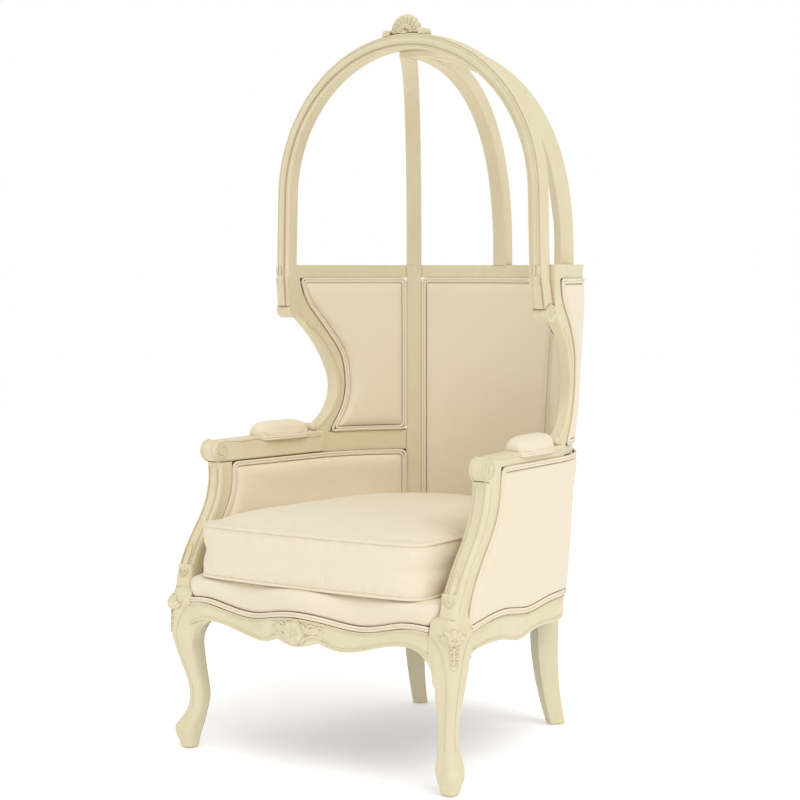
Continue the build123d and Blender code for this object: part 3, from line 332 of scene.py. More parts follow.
def metric_uv(points):
    """UV in metres: distance along the rows and along the columns of a grid of points."""
    across = np.linalg.norm(np.diff(points, axis=1), axis=2)
    along = np.linalg.norm(np.diff(points, axis=0), axis=2)
    u = np.concatenate([np.zeros((points.shape[0], 1)), np.cumsum(across, 1)], 1)
    v = np.concatenate([np.zeros((1, points.shape[1])), np.cumsum(along, 0)], 0)
    return np.stack([u - u[:, -1:] / 2, v], -1)


def closed_stack(name, rings):
    """Closed form through a stack of closed rings, its two ends drawn together to one point each.

    The first and last rings are collapsed to their middles, then doubled points are merged.
    """
    low = np.broadcast_to(rings[0].mean(0), rings[0].shape)
    high = np.broadcast_to(rings[-1].mean(0), rings[-1].shape)
    points = np.concatenate([low[None], rings, high[None]])
    uv = metric_uv(np.concatenate([points, points[:, :1]], 1))[:, :-1]
    faces = grid_faces(*points.shape[:2], wrap_columns=True)
    piece = make_object(name, points.reshape(-1, 3), faces, uv.reshape(-1, 2))
    merge_doubles(piece)
    return piece


def merge_doubles(piece):
    """Merge points that lie on each other and face every face outward."""
    work = bmesh.new()
    work.from_mesh(piece.data)
    bmesh.ops.remove_doubles(work, verts=work.verts, dist=1e-6)
    bmesh.ops.recalc_face_normals(work, faces=work.faces)
    work.to_mesh(piece.data)
    work.free()


def tube_points(path, out, width, height, count=10, closed=True):
    """Rings of an oval tube carried along a path: width across the surface it lies on, height out of it."""
    if closed:
        ahead = np.roll(path, -1, 0) - np.roll(path, 1, 0)
    else:
        ahead = np.gradient(path, axis=0)
    ahead = unit(ahead)
    side = unit(np.cross(ahead, out))
    up = np.cross(side, ahead)
    turn = np.linspace(0, 2 * math.pi, count, endpoint=False)
    return (path[:, None] + side[:, None] * (np.cos(turn) * width)[None, :, None]
            + up[:, None] * (np.sin(turn) * height)[None, :, None])


def tube_object(name, path, out, width, height, count=10, closed=True):
    """Oval tube along a path, closed into a ring or with its ends drawn to points."""
    rings = tube_points(path, out, width, height, count, closed)
    if not closed:
        rings = np.concatenate([np.broadcast_to(path[:1, None], (1, count, 3)), rings,
                                np.broadcast_to(path[-1:, None], (1, count, 3))])
    rows, columns = rings.shape[:2]
    run = run_along(rings[:, 0])
    round_ = np.linspace(0, 2 * math.pi * max(width, height), columns)
    uv = np.stack(np.broadcast_arrays(round_[None, :], run[:, None]), -1)
    faces = grid_faces(rows, columns, wrap_rows=closed, wrap_columns=True)
    piece = make_object(name, rings.reshape(-1, 3), faces, uv.reshape(-1, 2))
    merge_doubles(piece)
    return piece


def joined(name, parts):
    """One object from several."""
    bpy.ops.object.select_all(action="DESELECT")
    for part in parts:
        part.select_set(True)
    bpy.context.view_layer.objects.active = parts[0]
    bpy.ops.object.join()
    parts[0].name = name
    parts[0].data.name = name
    return parts[0]


def finish(piece, slot, nodes=(), body="frame"):
    """Give a piece the material of a slot, let it ride on a body and hide the CAD nodes that it stands for.
    """
    piece.data.materials.clear()
    piece.data.materials.append(MATERIALS[slot])
    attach(piece, body)
    if nodes:
        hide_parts(*nodes)
    return piece


def piping(name, paths, out, width, height, closed=True):
    """Cords along some paths, joined into one piece."""
    return joined(name, [tube_object(name, path, out, width, height, closed=closed) for path in paths])


# Materials


def tinted(colour, *shares):
    """Colour with its red, green and blue each taken at a share."""
    return tuple(c * k for c, k in zip(colour, (*shares, 1.0)))


class Nodes:
    """Short hand for building a material's node tree."""

    def __init__(self, name):
        self.material = bpy.data.materials.new(name)
        self.material.use_nodes = True
        self.tree = self.material.node_tree
        self.shader = self.tree.nodes["Principled BSDF"]

    def place(self):
        """Place on the object."""
        return self.add("ShaderNodeTexCoord").outputs["Object"]

    def add(self, kind, inputs=(), **settings):
        """Add a node, set its fields and link or fill its inputs."""
        node = self.tree.nodes.new(kind)
        for key, value in settings.items():
            setattr(node, key, value)
        for key, value in dict(inputs).items():
            self.feed(node.inputs[key], value)
        return node

    def feed(self, socket, value):
        """Link an output to a socket, or set its value."""
        if isinstance(value, bpy.types.NodeSocket):
            self.tree.links.new(value, socket)
        else:
            socket.default_value = value

    def mix(self, factor, first, second, blend="MIX"):
        """Blend of two colours."""
        node = self.add("ShaderNodeMix", data_type="RGBA", blend_type=blend)
        self.feed(node.inputs[0], factor)
        self.feed(node.inputs[6], first)
        self.feed(node.inputs[7], second)
        return node.outputs[2]

    def math(self, operation, first, second=0.0):
        """Result of a sum or other operation on two numbers."""
        node = self.add("ShaderNodeMath", operation=operation)
        self.feed(node.inputs[0], first)
        self.feed(node.inputs[1], second)
        return node.outputs[0]

    def ramp(self, value, low, high):
        """Number that goes from 0 to 1 as a value goes from low to high."""
        node = self.add("ShaderNodeMapRange", {"Value": value, "From Min": low, "From Max": high})
        return node.outputs[0]

    def noise(self, place, scale, detail=4.0, rough=0.55):
        """Noise at a place."""
        fields = {"Vector": place, "Scale": scale, "Detail": detail, "Roughness": rough}
        return self.add("ShaderNodeTexNoise", fields).outputs[0]

    def stretched(self, place, scale, detail, rough=0.55):
        """Noise at a place that is scaled on each axis by itself."""
        mapped = self.add("ShaderNodeMapping", {"Vector": place, "Scale": scale}).outputs[0]
        return self.noise(mapped, 1.0, detail, rough)

    def times(self, value, factor, start=None):
        """A value times a factor, added to a start where there is one."""
        product = self.math("MULTIPLY", value, factor)
        return product if start is None else self.math("ADD", start, product)

    def dress(self, inputs, height=None, strength=0.0, distance=0.0):
        """Feed the shader's inputs and its normal from a bump's height, and hand back the material."""
        for key, value in inputs.items():
            self.feed(self.shader.inputs[key], value)
        if height is not None:
            bump = self.add("ShaderNodeBump", {"Height": height, "Strength": strength, "Distance": distance})
            self.feed(self.shader.inputs["Normal"], bump.outputs[0])
        return self.material


def painted_wood_material(paint, glaze):
    """Antique paint over carved wood: even cream, slightly streaky, with glaze left in the hollows."""
    n = Nodes("antique cream paint")
    place = n.place()
    cloud = n.noise(place, 7.0, 3.0)
    streak = n.stretched(place, (60.0, 60.0, 6.0), 5.0, 0.6)
    speck = n.noise(place, 260.0, 2.0)
    tone = n.mix(n.ramp(cloud, 0.35, 0.7), paint, tinted(paint, 0.95, 0.93, 0.86))
    tone = n.mix(n.times(n.ramp(streak, 0.4, 0.75), 0.25), tone, tinted(paint, 0.88, 0.84, 0.74))
    hollow = n.add("ShaderNodeAmbientOcclusion", {"Distance": 0.006}, samples=6).outputs["AO"]
    depth = n.math("SUBTRACT", 1.0, n.ramp(hollow, 0.35, 0.92))
    depth = n.math("MULTIPLY", depth, n.times(n.ramp(speck, 0.3, 0.7), 0.35, 0.55))
    tone = n.mix(n.math("MINIMUM", depth, 1.0), tone, glaze)
    return n.dress({"Base Color": tone, "Roughness": n.times(streak, 0.2, 0.42), "Specular IOR Level": 0.35},
                   n.times(speck, 0.1, streak), 0.1, 0.0004)


def linen_material(cloth, thread=0.0011):
    """Plain woven linen: warp and weft threads one over the other, with slubs and a soft sheen."""
    n = Nodes("oatmeal linen")
    uv = n.add("ShaderNodeUVMap", uv_map="UVMap").outputs[0]
    place = n.place()
    across, up = n.add("ShaderNodeSeparateXYZ", {"Vector": uv}).outputs[:2]
    drift = n.times(n.noise(place, 90.0, 2.0), 2.5)
    warp, weft = [n.math("SINE", n.times(axis, math.pi / thread, drift)) for axis in (across, up)]
    weave = n.math("MULTIPLY", warp, weft)
    slub = n.math("ADD", n.stretched(uv, (900.0, 25.0, 1.0), 3.0), n.stretched(uv, (25.0, 900.0, 1.0), 3.0))
    cloud = n.noise(place, 9.0, 3.0)
    dark = tinted(cloth, 0.92, 0.89, 0.84)
    tone = n.mix(n.times(n.ramp(slub, 0.8, 1.25), 0.55), cloth, dark)
    tone = n.mix(n.times(n.ramp(weave, -1.0, 0.2), 0.12), dark, tone)
    tone = n.mix(n.times(n.ramp(cloud, 0.35, 0.75), 0.18), tone, dark)
    return n.dress({"Base Color": tone, "Roughness": 0.88, "Specular IOR Level": 0.2, "Sheen Weight": 0.15,
                    "Sheen Roughness": 0.5}, n.times(weave, 0.5, slub), 0.35, 0.0004)


def beech_material():
    """Bare beech: fine straight grain with short dark flecks."""
    n = Nodes("bare beech")
    place = n.place()
    grain = n.stretched(place, (12.0, 90.0, 90.0), 6.0)
    fleck = n.stretched(place, (80.0, 700.0, 700.0), 2.0)
    tone = n.mix(n.ramp(grain, 0.3, 0.7), srgb(205, 170, 126), srgb(184, 143, 98))
    tone = n.mix(n.times(n.ramp(fleck, 0.62, 0.75), 0.5), tone, srgb(142, 98, 60))
    return n.dress({"Base Color": tone, "Roughness": n.times(grain, 0.2, 0.55)}, grain, 0.3, 0.0005)


def woven_material(name, light, dark, thread):
    """Coarse cloth seen from below: square weave on two level axes, with uneven threads."""
    n = Nodes(name)
    place = n.place()
    axes = n.add("ShaderNodeSeparateXYZ", {"Vector": place}).outputs[:2]
    weave = n.math("MULTIPLY", *[n.math("SINE", n.times(axis, math.pi / thread)) for axis in axes])
    height = n.math("ADD", weave, n.noise(place, 140.0, 3.0))
    tone = n.mix(n.ramp(height, -0.4, 1.2), dark, light)
    return n.dress({"Base Color": tone, "Roughness": 0.92}, height, 0.5, 0.0006)


def screw_material():
    """Zinc-plated steel with fine turning marks."""
    n = Nodes("zinc-plated steel")
    mark = n.stretched(n.place(), (900.0, 200.0, 900.0), 3.0)
    return n.dress({"Base Color": n.mix(mark, srgb(176, 178, 180), srgb(138, 140, 143)), "Metallic": 1.0,
                    "Roughness": n.times(mark, 0.2, 0.28)})


def glide_material():
    """Hard nylon of the foot glides, scuffed dull underneath."""
    n = Nodes("nylon glide")
    scuff = n.noise(n.place(), 420.0, 5.0, 0.7)
    tone = n.mix(n.ramp(scuff, 0.45, 0.7), srgb(226, 220, 204), srgb(196, 186, 163))
    return n.dress({"Base Color": tone, "Roughness": n.times(scuff, 0.35, 0.35)}, scuff, 0.2, 0.0002)


# Stuffing


def stuffed(piece, held, pressure, most, frames=18):
    """Let a closed piece swell as stuffed cloth: it is simulated with air pressure inside and without weight.

    Held points stay where they are. Every other point goes where the cloth goes, its way shortened
    to most * tanh(way / most), and the result is kept in the mesh.
    """
    scene = bpy.context.scene
    count = len(piece.data.vertices)
    start = np.empty(count * 3, np.float32)
    piece.data.vertices.foreach_get("co", start)
    group = piece.vertex_groups.new(name="held")
    group.add(np.flatnonzero(held(start.reshape(-1, 3))).tolist(), 1.0, "REPLACE")
    cloth = piece.modifiers.new("stuffing", "CLOTH")
    cloth.settings.quality = 4
    cloth.settings.vertex_group_mass = "held"
    cloth.settings.use_pressure = True
    cloth.settings.uniform_pressure_force = pressure
    cloth.settings.shrink_min = STUFFING_SHRINK
    cloth.settings.effector_weights.gravity = 0.0
    cloth.collision_settings.use_collision = False
    cloth.point_cache.frame_end = frames
    for number in range(1, frames + 1):
        scene.frame_set(number)
    swollen = piece.evaluated_get(bpy.context.evaluated_depsgraph_get())
    end = np.empty(count * 3, np.float32)
    swollen.data.vertices.foreach_get("co", end)
    piece.modifiers.remove(cloth)
    piece.vertex_groups.clear()
    scene.frame_set(1)
    way = (end - start).reshape(-1, 3)
    length = np.linalg.norm(way, axis=1, keepdims=True) + 1e-9
    placed = start.reshape(-1, 3) + way * np.tanh(length / most) * most / length
    piece.data.vertices.foreach_set("co", placed.ravel())
    piece.data.update()


# Upholstered panels


class SidePanel:
    """Opening on the side wall between a front edge, a sill line or level, the rear post and a level top.

    The lines are in Y and Z. Toward the front and the top the panel may stand out by a flare, a share
    of its distance from the wall's middle.
    """

    def __init__(self, edge, top, sill=None, low=None, flare=0.0):
        self.edge = edge
        self.top = top
        self.sill = sill
        self.low = low
        self.flare = flare

    def place(self, u, v, inset, offset):
        """Wall point at shares u, front to rear, and v, low to high, of the opening drawn in by an inset."""
        top = self.top - inset
        edge = drawn_in(self.edge, inset)
        near = np.clip(np.maximum(1 - u / 0.3, 1 - (1 - v) / 0.3), 0, 1)
        offset = offset * (1 + self.flare * near * near * (3 - 2 * near))
        y = np.full(np.broadcast(u, v).shape, 0.1)
        z = np.full(y.shape, 0.5)
        for _ in range(6):
            if self.sill is None:
                low = np.full(y.shape, self.low + inset)
            else:
                sill = drawn_in(self.sill, inset, 1)
                low = np.interp(y, sill[:, 0], sill[:, 1])
            z = low + (top - low) * v
            front = np.interp(z, edge[:, 1], edge[:, 0])
            rear = stile_y(z, offset, inset)
            y = front + (rear - front) * u
        return side_wall(y, z, offset)


class BackPanel:
    """Opening on the back wall between the two rear posts."""

    def __init__(self, low, top):
        self.low = low
        self.top = top

    def place(self, u, v, inset, offset):
        """Wall point at shares u, from right to left, and v, from low to high."""
        z = self.low + inset + (self.top - self.low - 2 * inset) * v
        start = stile_turn(z, offset, inset)
        turn = start + (math.pi - 2 * start) * u
        return back_wall(turn, z, offset)


def lap(points, amount):
    """Shares along a line of a given count, closer together near both ends."""
    t = np.linspace(0, 1, points)
    return t - amount * np.sin(2 * math.pi * t) / (2 * math.pi)


def field_rise(u, v, size, edge, rise, crown):
    """Height of a stuffed field: it rises over a rounded edge, then crowns a little toward the middle.

    Each edge follows a quarter of an ellipse, edge wide, and the crown is a product of two sines.
    """
    def shoulder(t, length):
        reach = np.clip(np.minimum(t, 1 - t) * length / edge, 0, 1)
        return np.sqrt(np.clip(1 - (1 - reach) ** 2, 0, 1))
    bulge = (np.sin(math.pi * u) * np.sin(math.pi * v)) ** 0.7
    return rise * (shoulder(u, size[0]) * shoulder(v, size[1])) ** 0.8 + crown * bulge


def cloth_drift(points, seed, amount):
    """Slow unevenness of hand-stretched cloth: a sum of a few long waves of fixed phase."""
    rng = np.random.default_rng(seed)
    drift = np.zeros(points.shape[:-1])
    for _ in range(7):
        wave = rng.normal(size=3) * rng.uniform(8, 30)
        drift += np.sin(points @ wave + rng.uniform(0, 6.28)) * rng.uniform(0.3, 1.0)
    return drift * amount / 3


def pad_object(name, panel, side, inset, size, rise, crown, hand, seed):
    """Stuffed field of a panel: a crowned sheet on the wall, closed behind by a flat one."""
    rows, columns = 64, 72
    v, u = np.meshgrid(lap(rows, 0.75), lap(columns, 0.75), indexing="ij")
    base = side * (HALF_WALL - 0.0005)
    flat = panel.place(u, v, inset, base)
    height = field_rise(u, v, size, FIELD_EDGE, rise, crown)
    height = height + cloth_drift(flat, seed, FIELD_DRIFT) * np.sin(math.pi * u) * np.sin(math.pi * v)
    face = panel.place(u, v, inset, base + side * height)
    back = panel.place(u, v, inset, side * FIELD_BACK)
    points = np.concatenate([face.reshape(-1, 3), back.reshape(-1, 3)])
    faces = grid_faces(rows, columns)
    behind = faces[:, ::-1] + rows * columns
    loop = np.concatenate([np.arange(columns), np.arange(1, rows) * columns + columns - 1,
                           (rows - 1) * columns + np.arange(columns - 2, -1, -1),
                           np.arange(rows - 2, 0, -1) * columns])
    ahead = np.roll(loop, -1)
    rim = np.stack([loop, loop + rows * columns, ahead + rows * columns, ahead], 1)
    points[:, 0] *= hand
    uv = metric_uv(face).reshape(-1, 2)
    piece = make_object(name, points, np.concatenate([faces, behind, rim]), np.concatenate([uv, uv]))
    merge_doubles(piece)
    return piece


def outline(panel, inset, offset, count):
    """Closed line round an opening, drawn in, its corners rounded, and the wall's outward direction."""
    t = np.linspace(0, 1, 160)
    zero, one = np.zeros_like(t), np.ones_like(t)
    u = np.concatenate([t, one, t[::-1], zero])
    v = np.concatenate([zero, t, one, t[::-1]])
    near = resampled(panel.place(u, v, inset, offset), count, closed=True)
    far = resampled(panel.place(u, v, inset, offset + 0.01), count, closed=True)
    near, far = softened(near, 10), softened(far, 10)
    return near, unit(far - near)


def welt_object(name, panel, side, lift, hand, count):
    """Double welt round a panel: two covered cords side by side along its edge."""
    parts = []
    for inset in WELT_INSETS:
        path, out = outline(panel, inset, side * (HALF_WALL + lift), count)
        parts.append(tube_object(name, path * (hand, 1, 1), out * (hand * side, side, side), *WELT_SIZE))
    return joined(name, parts)


WING_PANEL = SidePanel(spline(WING_OPEN, 80), TOP_RAIL_LOW, low=MID_RAIL_TOP)
BACK_PANEL = BackPanel(RAIL_TOP, TOP_RAIL_LOW)


def arm_panel(depth, top):
    """Opening between an arm and the seat rail, its front edge a depth behind the arm support's front."""
    return SidePanel(spline(SUPPORT_EDGE + (depth, 0), 60), top, sill=spline(SILL, 120), flare=0.3)


# Each panel, its side of the wall (1 outside), its width and height, rise and crown
PANELS = {
    "wing_inner": (WING_PANEL, -1, (0.30, 0.38), 0.014, 0.010),
    "wing_outer": (WING_PANEL, 1, (0.30, 0.38), 0.006, 0.003),
    "side_inner": (arm_panel(0.038, ARM_LOW), -1, (0.55, 0.30), 0.009, 0.006),
    "side_outer": (arm_panel(0.054, ARM_LOW + 0.028), 1, (0.55, 0.33), 0.006, 0.003),
}
BACK_PANELS = {
    "back_inner": (BACK_PANEL, -1, (0.40, 0.73), 0.009, 0.005),
    "back_outer": (BACK_PANEL, 1, (0.42, 0.73), 0.006, 0.003),
}


def upholster(name, shape, hand, seed, end="", count=420):
    """Stuffed field of a panel and the double welt round it."""
    panel, side, size, rise, crown = shape
    pad = pad_object(f"{name}_field{end}", panel, side, FIELD_INSET, size, rise, crown, hand, seed)
    finish(pad, "linen", [f"{name}_pad{end}"])
    welt = welt_object(f"{name}_double_welt{end}", panel, side, settings().welt_lift, hand, count)
    finish(welt, "welt_linen", [f"{name}_welt{end}"])


# Seat and elbow rests

SEAT_MIDDLE = np.array([0.0, -0.03])
CUSHION_RADIUS = 0.300
CUSHION_SPLAY = math.radians(1.1)
CUSHION_FRONT = WALL_Y - 0.423
CUSHION_BOW = 0.016
CUSHION_CORNER = 0.06
CUSHION_LOW = DECK_TOP + 0.0003
CUSHION_SEAM = CUSHION_LOW + 0.008
CUSHION_TOP_SEAM = CUSHION_SEAM + 0.108
CUSHION_CROWN = 0.032
SEAM_DROP = 0.0065
BORDER_DRAW = 0.0035
BORDER_SWELL = 0.004
DECK_GAP = -0.0265
DECK_LOW = 0.330
DECK_BULGE = 0.009
DECK_EDGE = 0.016
DECK_WELT_RISE = 0.0125
REST_LOW = ARM_TOP - 0.010
REST_RISE = 0.0315
REST_WALL = 0.011
REST_HALF_LENGTH = 0.0845
REST_HALF_WIDTH = 0.0285
REST_POWER = 0.55
REST_MIDDLE_Y = -0.116 + 0.161 / 2


def rear_curve(radius, turn):
    """Points of the seat's round back in plan."""
    return np.stack([radius * np.cos(turn), WALL_Y + radius * np.sin(turn)], 1)


def cushion_ring(count):
    """Plan of the cushion: bowed front, nearly straight sides and a half round back, with rounded corners."""
    splay, front = CUSHION_SPLAY, CUSHION_FRONT
    half = (CUSHION_RADIUS + (WALL_Y - front) * math.sin(splay)) / math.cos(splay)
    t = np.linspace(-1, 1, 200)
    bow = np.stack([t * half, front - CUSHION_BOW * (1 - t ** 2)], 1)
    rear = rear_curve(CUSHION_RADIUS, np.linspace(splay, math.pi - splay, 260))
    ring = resampled(np.concatenate([bow, rear]), 2400, closed=True)
    near = np.minimum(np.hypot(np.abs(ring[:, 0]) - half, ring[:, 1] - front) / CUSHION_CORNER, 1)
    for _ in range(900):
        average = (np.roll(ring, 1, 0) + np.roll(ring, -1, 0)) / 2
        ring = ring + (average - ring) * (1 - near)[:, None] ** 0.5 * 0.9
    return resampled(ring, count, closed=True)


def ring_normals(ring):
    """Outward direction at each point of a counterclockwise plan ring."""
    ahead = unit(np.roll(ring, -1, 0) - np.roll(ring, 1, 0))
    return np.stack([ahead[:, 1], -ahead[:, 0]], 1)


def lower_seam(y):
    """Height of the cushion's lower seam: it sinks toward the front, where the deck's edge rounds away."""
    share = np.clip((-0.24 - y) / 0.13, 0, 1)
    return CUSHION_SEAM - SEAM_DROP * share * share * (3 - 2 * share)


def drawn_plan(ring, share, z):
    """Ring of the seat's plan drawn toward the seat's middle to a share of its size, at a height."""
    return np.column_stack([SEAT_MIDDLE + (ring - SEAT_MIDDLE) * share, z])


def cushion_points(count):
    """Rings of the cushion from its bottom middle to its top middle.

    The bottom bellies down to the deck, the border draws in between its two seams, and the top
    rises steeply from the seam, then flattens toward the middle like a stuffed cushion.
    """
    ring = cushion_ring(count)
    normal = ring_normals(ring)
    low = lower_seam(ring[:, 1])
    rings = []
    for t in np.linspace(0.02, 1, 26) ** 0.8:
        drop = np.sin(np.clip((1 - t) / 0.16, 0, 1) * math.pi / 2)
        rings.append(drawn_plan(ring, t, low + (CUSHION_LOW - low) * drop))
    for t in np.linspace(0, 1, 18)[1:-1]:
        pull = BORDER_DRAW * np.sin(math.pi * t) - BORDER_SWELL * (np.abs(np.sin(2 * math.pi * t)) ** 0.7)
        rings.append(np.column_stack([ring - normal * pull, low + (CUSHION_TOP_SEAM - low) * t]))
    for t in np.linspace(1, 0.02, 46) ** 0.8:
        rise = 1 - (1 - np.clip((1 - t) / 0.75, 0, 1)) ** 2.6
        rings.append(drawn_plan(ring, t, np.full(count, CUSHION_TOP_SEAM + CUSHION_CROWN * rise)))
    return np.array(rings), ring


def deck_points(count):
    """Rings of the deck: it bulges over the rail's welt, rounds its top edge and runs level back."""
    rear = rear_curve(middle_radius(DECK_TOP) + DECK_GAP, np.linspace(0, math.pi, 200))
    side = np.linspace(BLOCK_FRONT_Y + 0.05, WALL_Y, 60)
    right = np.stack([side_wall(side, DECK_TOP, DECK_GAP)[:, 0], side], 1)
    plan = spline(RAIL_PLAN + (0, 0.009), 240)
    plan = plan[np.abs(plan[:, 0]) < 0.326]
    line = np.concatenate([plan, right, rear, right[::-1] * (-1, 1)])
    ring = softened(resampled(line, count, closed=True), 3)
    normal = ring_normals(ring)
    ahead = np.clip((-0.30 - ring[:, 1]) / 0.05, 0, 1)
    welt_top = np.interp(ring[:, 0], *spline(RAIL_LINE, 160).T) + DECK_WELT_RISE
    low = welt_top * ahead + DECK_LOW * (1 - ahead)
    rings = [drawn_plan(ring, t, low) for t in (0.02, 0.4, 0.8, 0.97)]
    for t in np.linspace(0, 1, 22):
        bulge = DECK_BULGE * math.cos(math.pi * (t - 0.5)) ** 0.8
        edge = DECK_EDGE * max(0.0, (t - 0.72) / 0.28) ** 2.2
        z = low + (DECK_TOP - low) * (1 - (1 - t) ** 1.15)
        rings.append(np.column_stack([ring + normal * ((bulge * ahead) - edge)[:, None], z]))
    rings += [drawn_plan(ring, t, np.full(count, DECK_TOP)) for t in (0.9, 0.7, 0.4, 0.02)]
    return np.array(rings)


def rail_welt_path(raise_by, ahead_by, count=300):
    """Line along the front rail's waved top, raised above it and set ahead of the deck's face."""
    plan = spline(RAIL_PLAN, 300)
    top = spline(RAIL_LINE, 300)
    x = np.linspace(-0.3275, 0.3275, count)
    y = np.interp(x, plan[:, 0], plan[:, 1]) + ahead_by
    z = np.interp(x, top[:, 0], top[:, 1]) + raise_by
    return np.stack([x, y, z], 1)


def arm_pad_rings(count):
    """Rings of an elbow rest: an oblong base that laps over the arm's edges, plump sides and a crowned top.

    The plan is a rounded oblong, |y|^(2/p) + |x|^(2/p) = 1 in shares of its half length and half width,
    with p the power. Going up, the sides swell by a quarter sine and the top closes over an ellipse.
    """
    turn = np.linspace(0, 2 * math.pi, count, endpoint=False)
    along, across = [np.sign(wave) * np.abs(wave) ** REST_POWER * half for wave, half in
                     ((np.cos(turn), REST_HALF_LENGTH), (np.sin(turn), REST_HALF_WIDTH))]
    levels = [(0.0, t) for t in (0.02, 0.6, 0.9)]
    for t in np.linspace(0, 1, 8):
        levels.append((REST_WALL * t, 0.955 + 0.045 * math.sin(math.pi * t / 2)))
    for t in np.linspace(0, 1, 24)[1:-1]:
        levels.append((REST_WALL + REST_RISE * math.sin(t * math.pi / 2), math.cos(t * math.pi / 2) ** 0.9))
    rings = []
    for height, share in levels:
        y = REST_MIDDLE_Y + along * (1 - (1 - share) * (0.3 + 0.5 * (1 - share)))
        rings.append(side_wall(y, np.full(count, REST_LOW + height), across * share))
    return np.array(rings)


# Front legs

SLEEVE_Z = 0.338
SLEEVE_RISE = 0.088
SLEEVE_LOW = np.array([0.3285, 0.3955, -0.3885, -0.3225])
SLEEVE_HIGH = np.array([0.3440, 0.3868, -0.3660, -0.3235])
WEB_FRONT_Y = -0.3875
WEB_BACK_Y = -0.352
WEB_LOW = 0.222
SKIN_SIZE = 0.0017
LEG_AXIS = (0.360, -0.353, 0)
TOES = ((0.370, -0.380, 0.050), (0.387, -0.363, 0.050))
TOE_RADIUS = 0.019
TOE_RISE = 0.0048


def prism(profile, low, high, axis):
    """Closed block: a profile of two coordinates carried along the third axis from low to high."""
    profile = np.asarray(profile, float)
    count = len(profile)
    points = np.concatenate([np.insert(profile, axis, low, axis=1), np.insert(profile, axis, high, axis=1)])
    sides = [(k, (k + 1) % count, (k + 1) % count + count, k + count) for k in range(count)]
    return points, [tuple(range(count)), tuple(range(2 * count - 1, count - 1, -1))] + sides


def ear(face, reach, low, high, inside):
    """Outline of the web under a rail beside the leg, its free edge a hollow quarter of an ellipse."""
    turn = np.linspace(0, math.pi / 2, 24)
    curve = np.stack([face + reach * (1 - np.cos(turn)), low + (high - low) * np.sin(turn)], 1)
    return np.concatenate([curve, [(face + reach, high + 0.006), (inside, high + 0.006), (inside, low)]])


def sleeve():
    """Sleeve that carries the leg's block up into the arm support, drawn in by a hollow curve as it rises."""
    t = np.linspace(0, 1, 16)
    share = 1 - (1 - t) ** 2.4
    box = SLEEVE_LOW + (SLEEVE_HIGH - SLEEVE_LOW) * share[:, None]
    z = SLEEVE_Z + SLEEVE_RISE * t
    corners = ((0, 2), (1, 2), (1, 3), (0, 3))
    rings = np.stack([np.stack([box[:, a], box[:, b], z], 1) for a, b in corners], 1)
    faces = [tuple(face) for face in grid_faces(16, 4, wrap_columns=True)]
    return rings.reshape(-1, 3), faces + [(0, 1, 2, 3), (63, 62, 61, 60)]


def eased(mesh, steps, weight):
    """Draw each point toward the mean of its neighbours, steps times, by a weight for each point."""
    count = len(mesh.vertices)
    points = np.empty(count * 3)
    mesh.vertices.foreach_get("co", points)
    points = points.reshape(-1, 3)
    edges = np.empty(len(mesh.edges) * 2, np.int64)
    mesh.edges.foreach_get("vertices", edges)
    edges = edges.reshape(-1, 2)
    ends = np.concatenate([edges, edges[:, ::-1]])
    near = np.bincount(ends[:, 0], minlength=count)[:, None]
    share = weight(points)[:, None]
    for _ in range(steps):
        mean = np.stack([np.bincount(ends[:, 0], points[ends[:, 1], k], count) for k in range(3)], 1) / near
        points = points + (mean - points) * share
    return points


def carved_leg():
    """Points and faces of the right front leg, drawn with its ears and shoulder into one carved surface.

    The frame's leg, a web under each rail and the sleeve round the arm support's foot are made one
    skin of even squares, which is eased most at the knee and least toward the toe. Two toes are
    then raised at the foot, each as half a cosine wave round its middle.
    """
    node = NODES["front_leg_right"]
    leg = ([tuple(node.matrix_world @ vertex.co) for vertex in node.data.vertices],
           [tuple(face.vertices) for face in node.data.polygons])
    front = ear(-0.336, 0.057, WEB_LOW, 0.3035, -0.352)
    side = ear(-0.3275, 0.060, WEB_LOW, 0.2935, -0.345)
    web, web_faces = prism(front * (-1, 1), WEB_FRONT_Y, WEB_BACK_Y, 1)
    web[:, 1] += np.where(web[:, 1] < -0.37, 0.19 * np.clip(0.292 - web[:, 2], 0, 1), 0)
    tongue = [(0.318, 0.290), (0.352, 0.290), (0.352, 0.340), (0.318, 0.340)]
    blocks = [leg, (web, web_faces), prism(tongue, -0.388, WEB_BACK_Y, 1),
              prism(side, 0.3415, 0.3725, 0), sleeve()]
    parts = []
    for points, faces in blocks:
        mesh = bpy.data.meshes.new("leg_block")
        mesh.from_pydata([tuple(point) for point in points], [], faces)
        part = bpy.data.objects.new("leg_block", mesh)
        bpy.context.scene.collection.objects.link(part)
        merge_doubles(part)
        parts.append(part)
    block = joined("leg_block", parts)
    skin = block.modifiers.new("skin", "REMESH")
    skin.mode = "VOXEL"
    skin.voxel_size = SKIN_SIZE
    graph = bpy.context.evaluated_depsgraph_get()
    mesh = bpy.data.meshes.new_from_object(block.evaluated_get(graph))
    bpy.data.objects.remove(block)
    points = eased(mesh, 22, lambda p: 0.12 + 0.5 * np.clip((p[:, 2] - 0.16) / 0.08, 0, 1))
    away = points - LEG_AXIS
    away[:, 2] = 0
    for toe in TOES:
        near = np.clip(np.linalg.norm(points - toe, axis=1, keepdims=True) / TOE_RADIUS, 0, 1)
        points = points + unit(away + 1e-9) * TOE_RISE * (0.5 + 0.5 * np.cos(math.pi * near))
    return points, np.array([tuple(face.vertices) for face in mesh.polygons])


# Carving


def wood_tree(*names):
    """Search tree over the faces of some CAD nodes."""
    points, faces = [], []
    for name in names:
        node = NODES[name]
        start = len(points)
        points += [node.matrix_world @ vertex.co for vertex in node.data.vertices]
        faces += [[start + corner for corner in face.vertices] for face in node.data.polygons]
    return BVHTree.FromPolygons(points, faces)


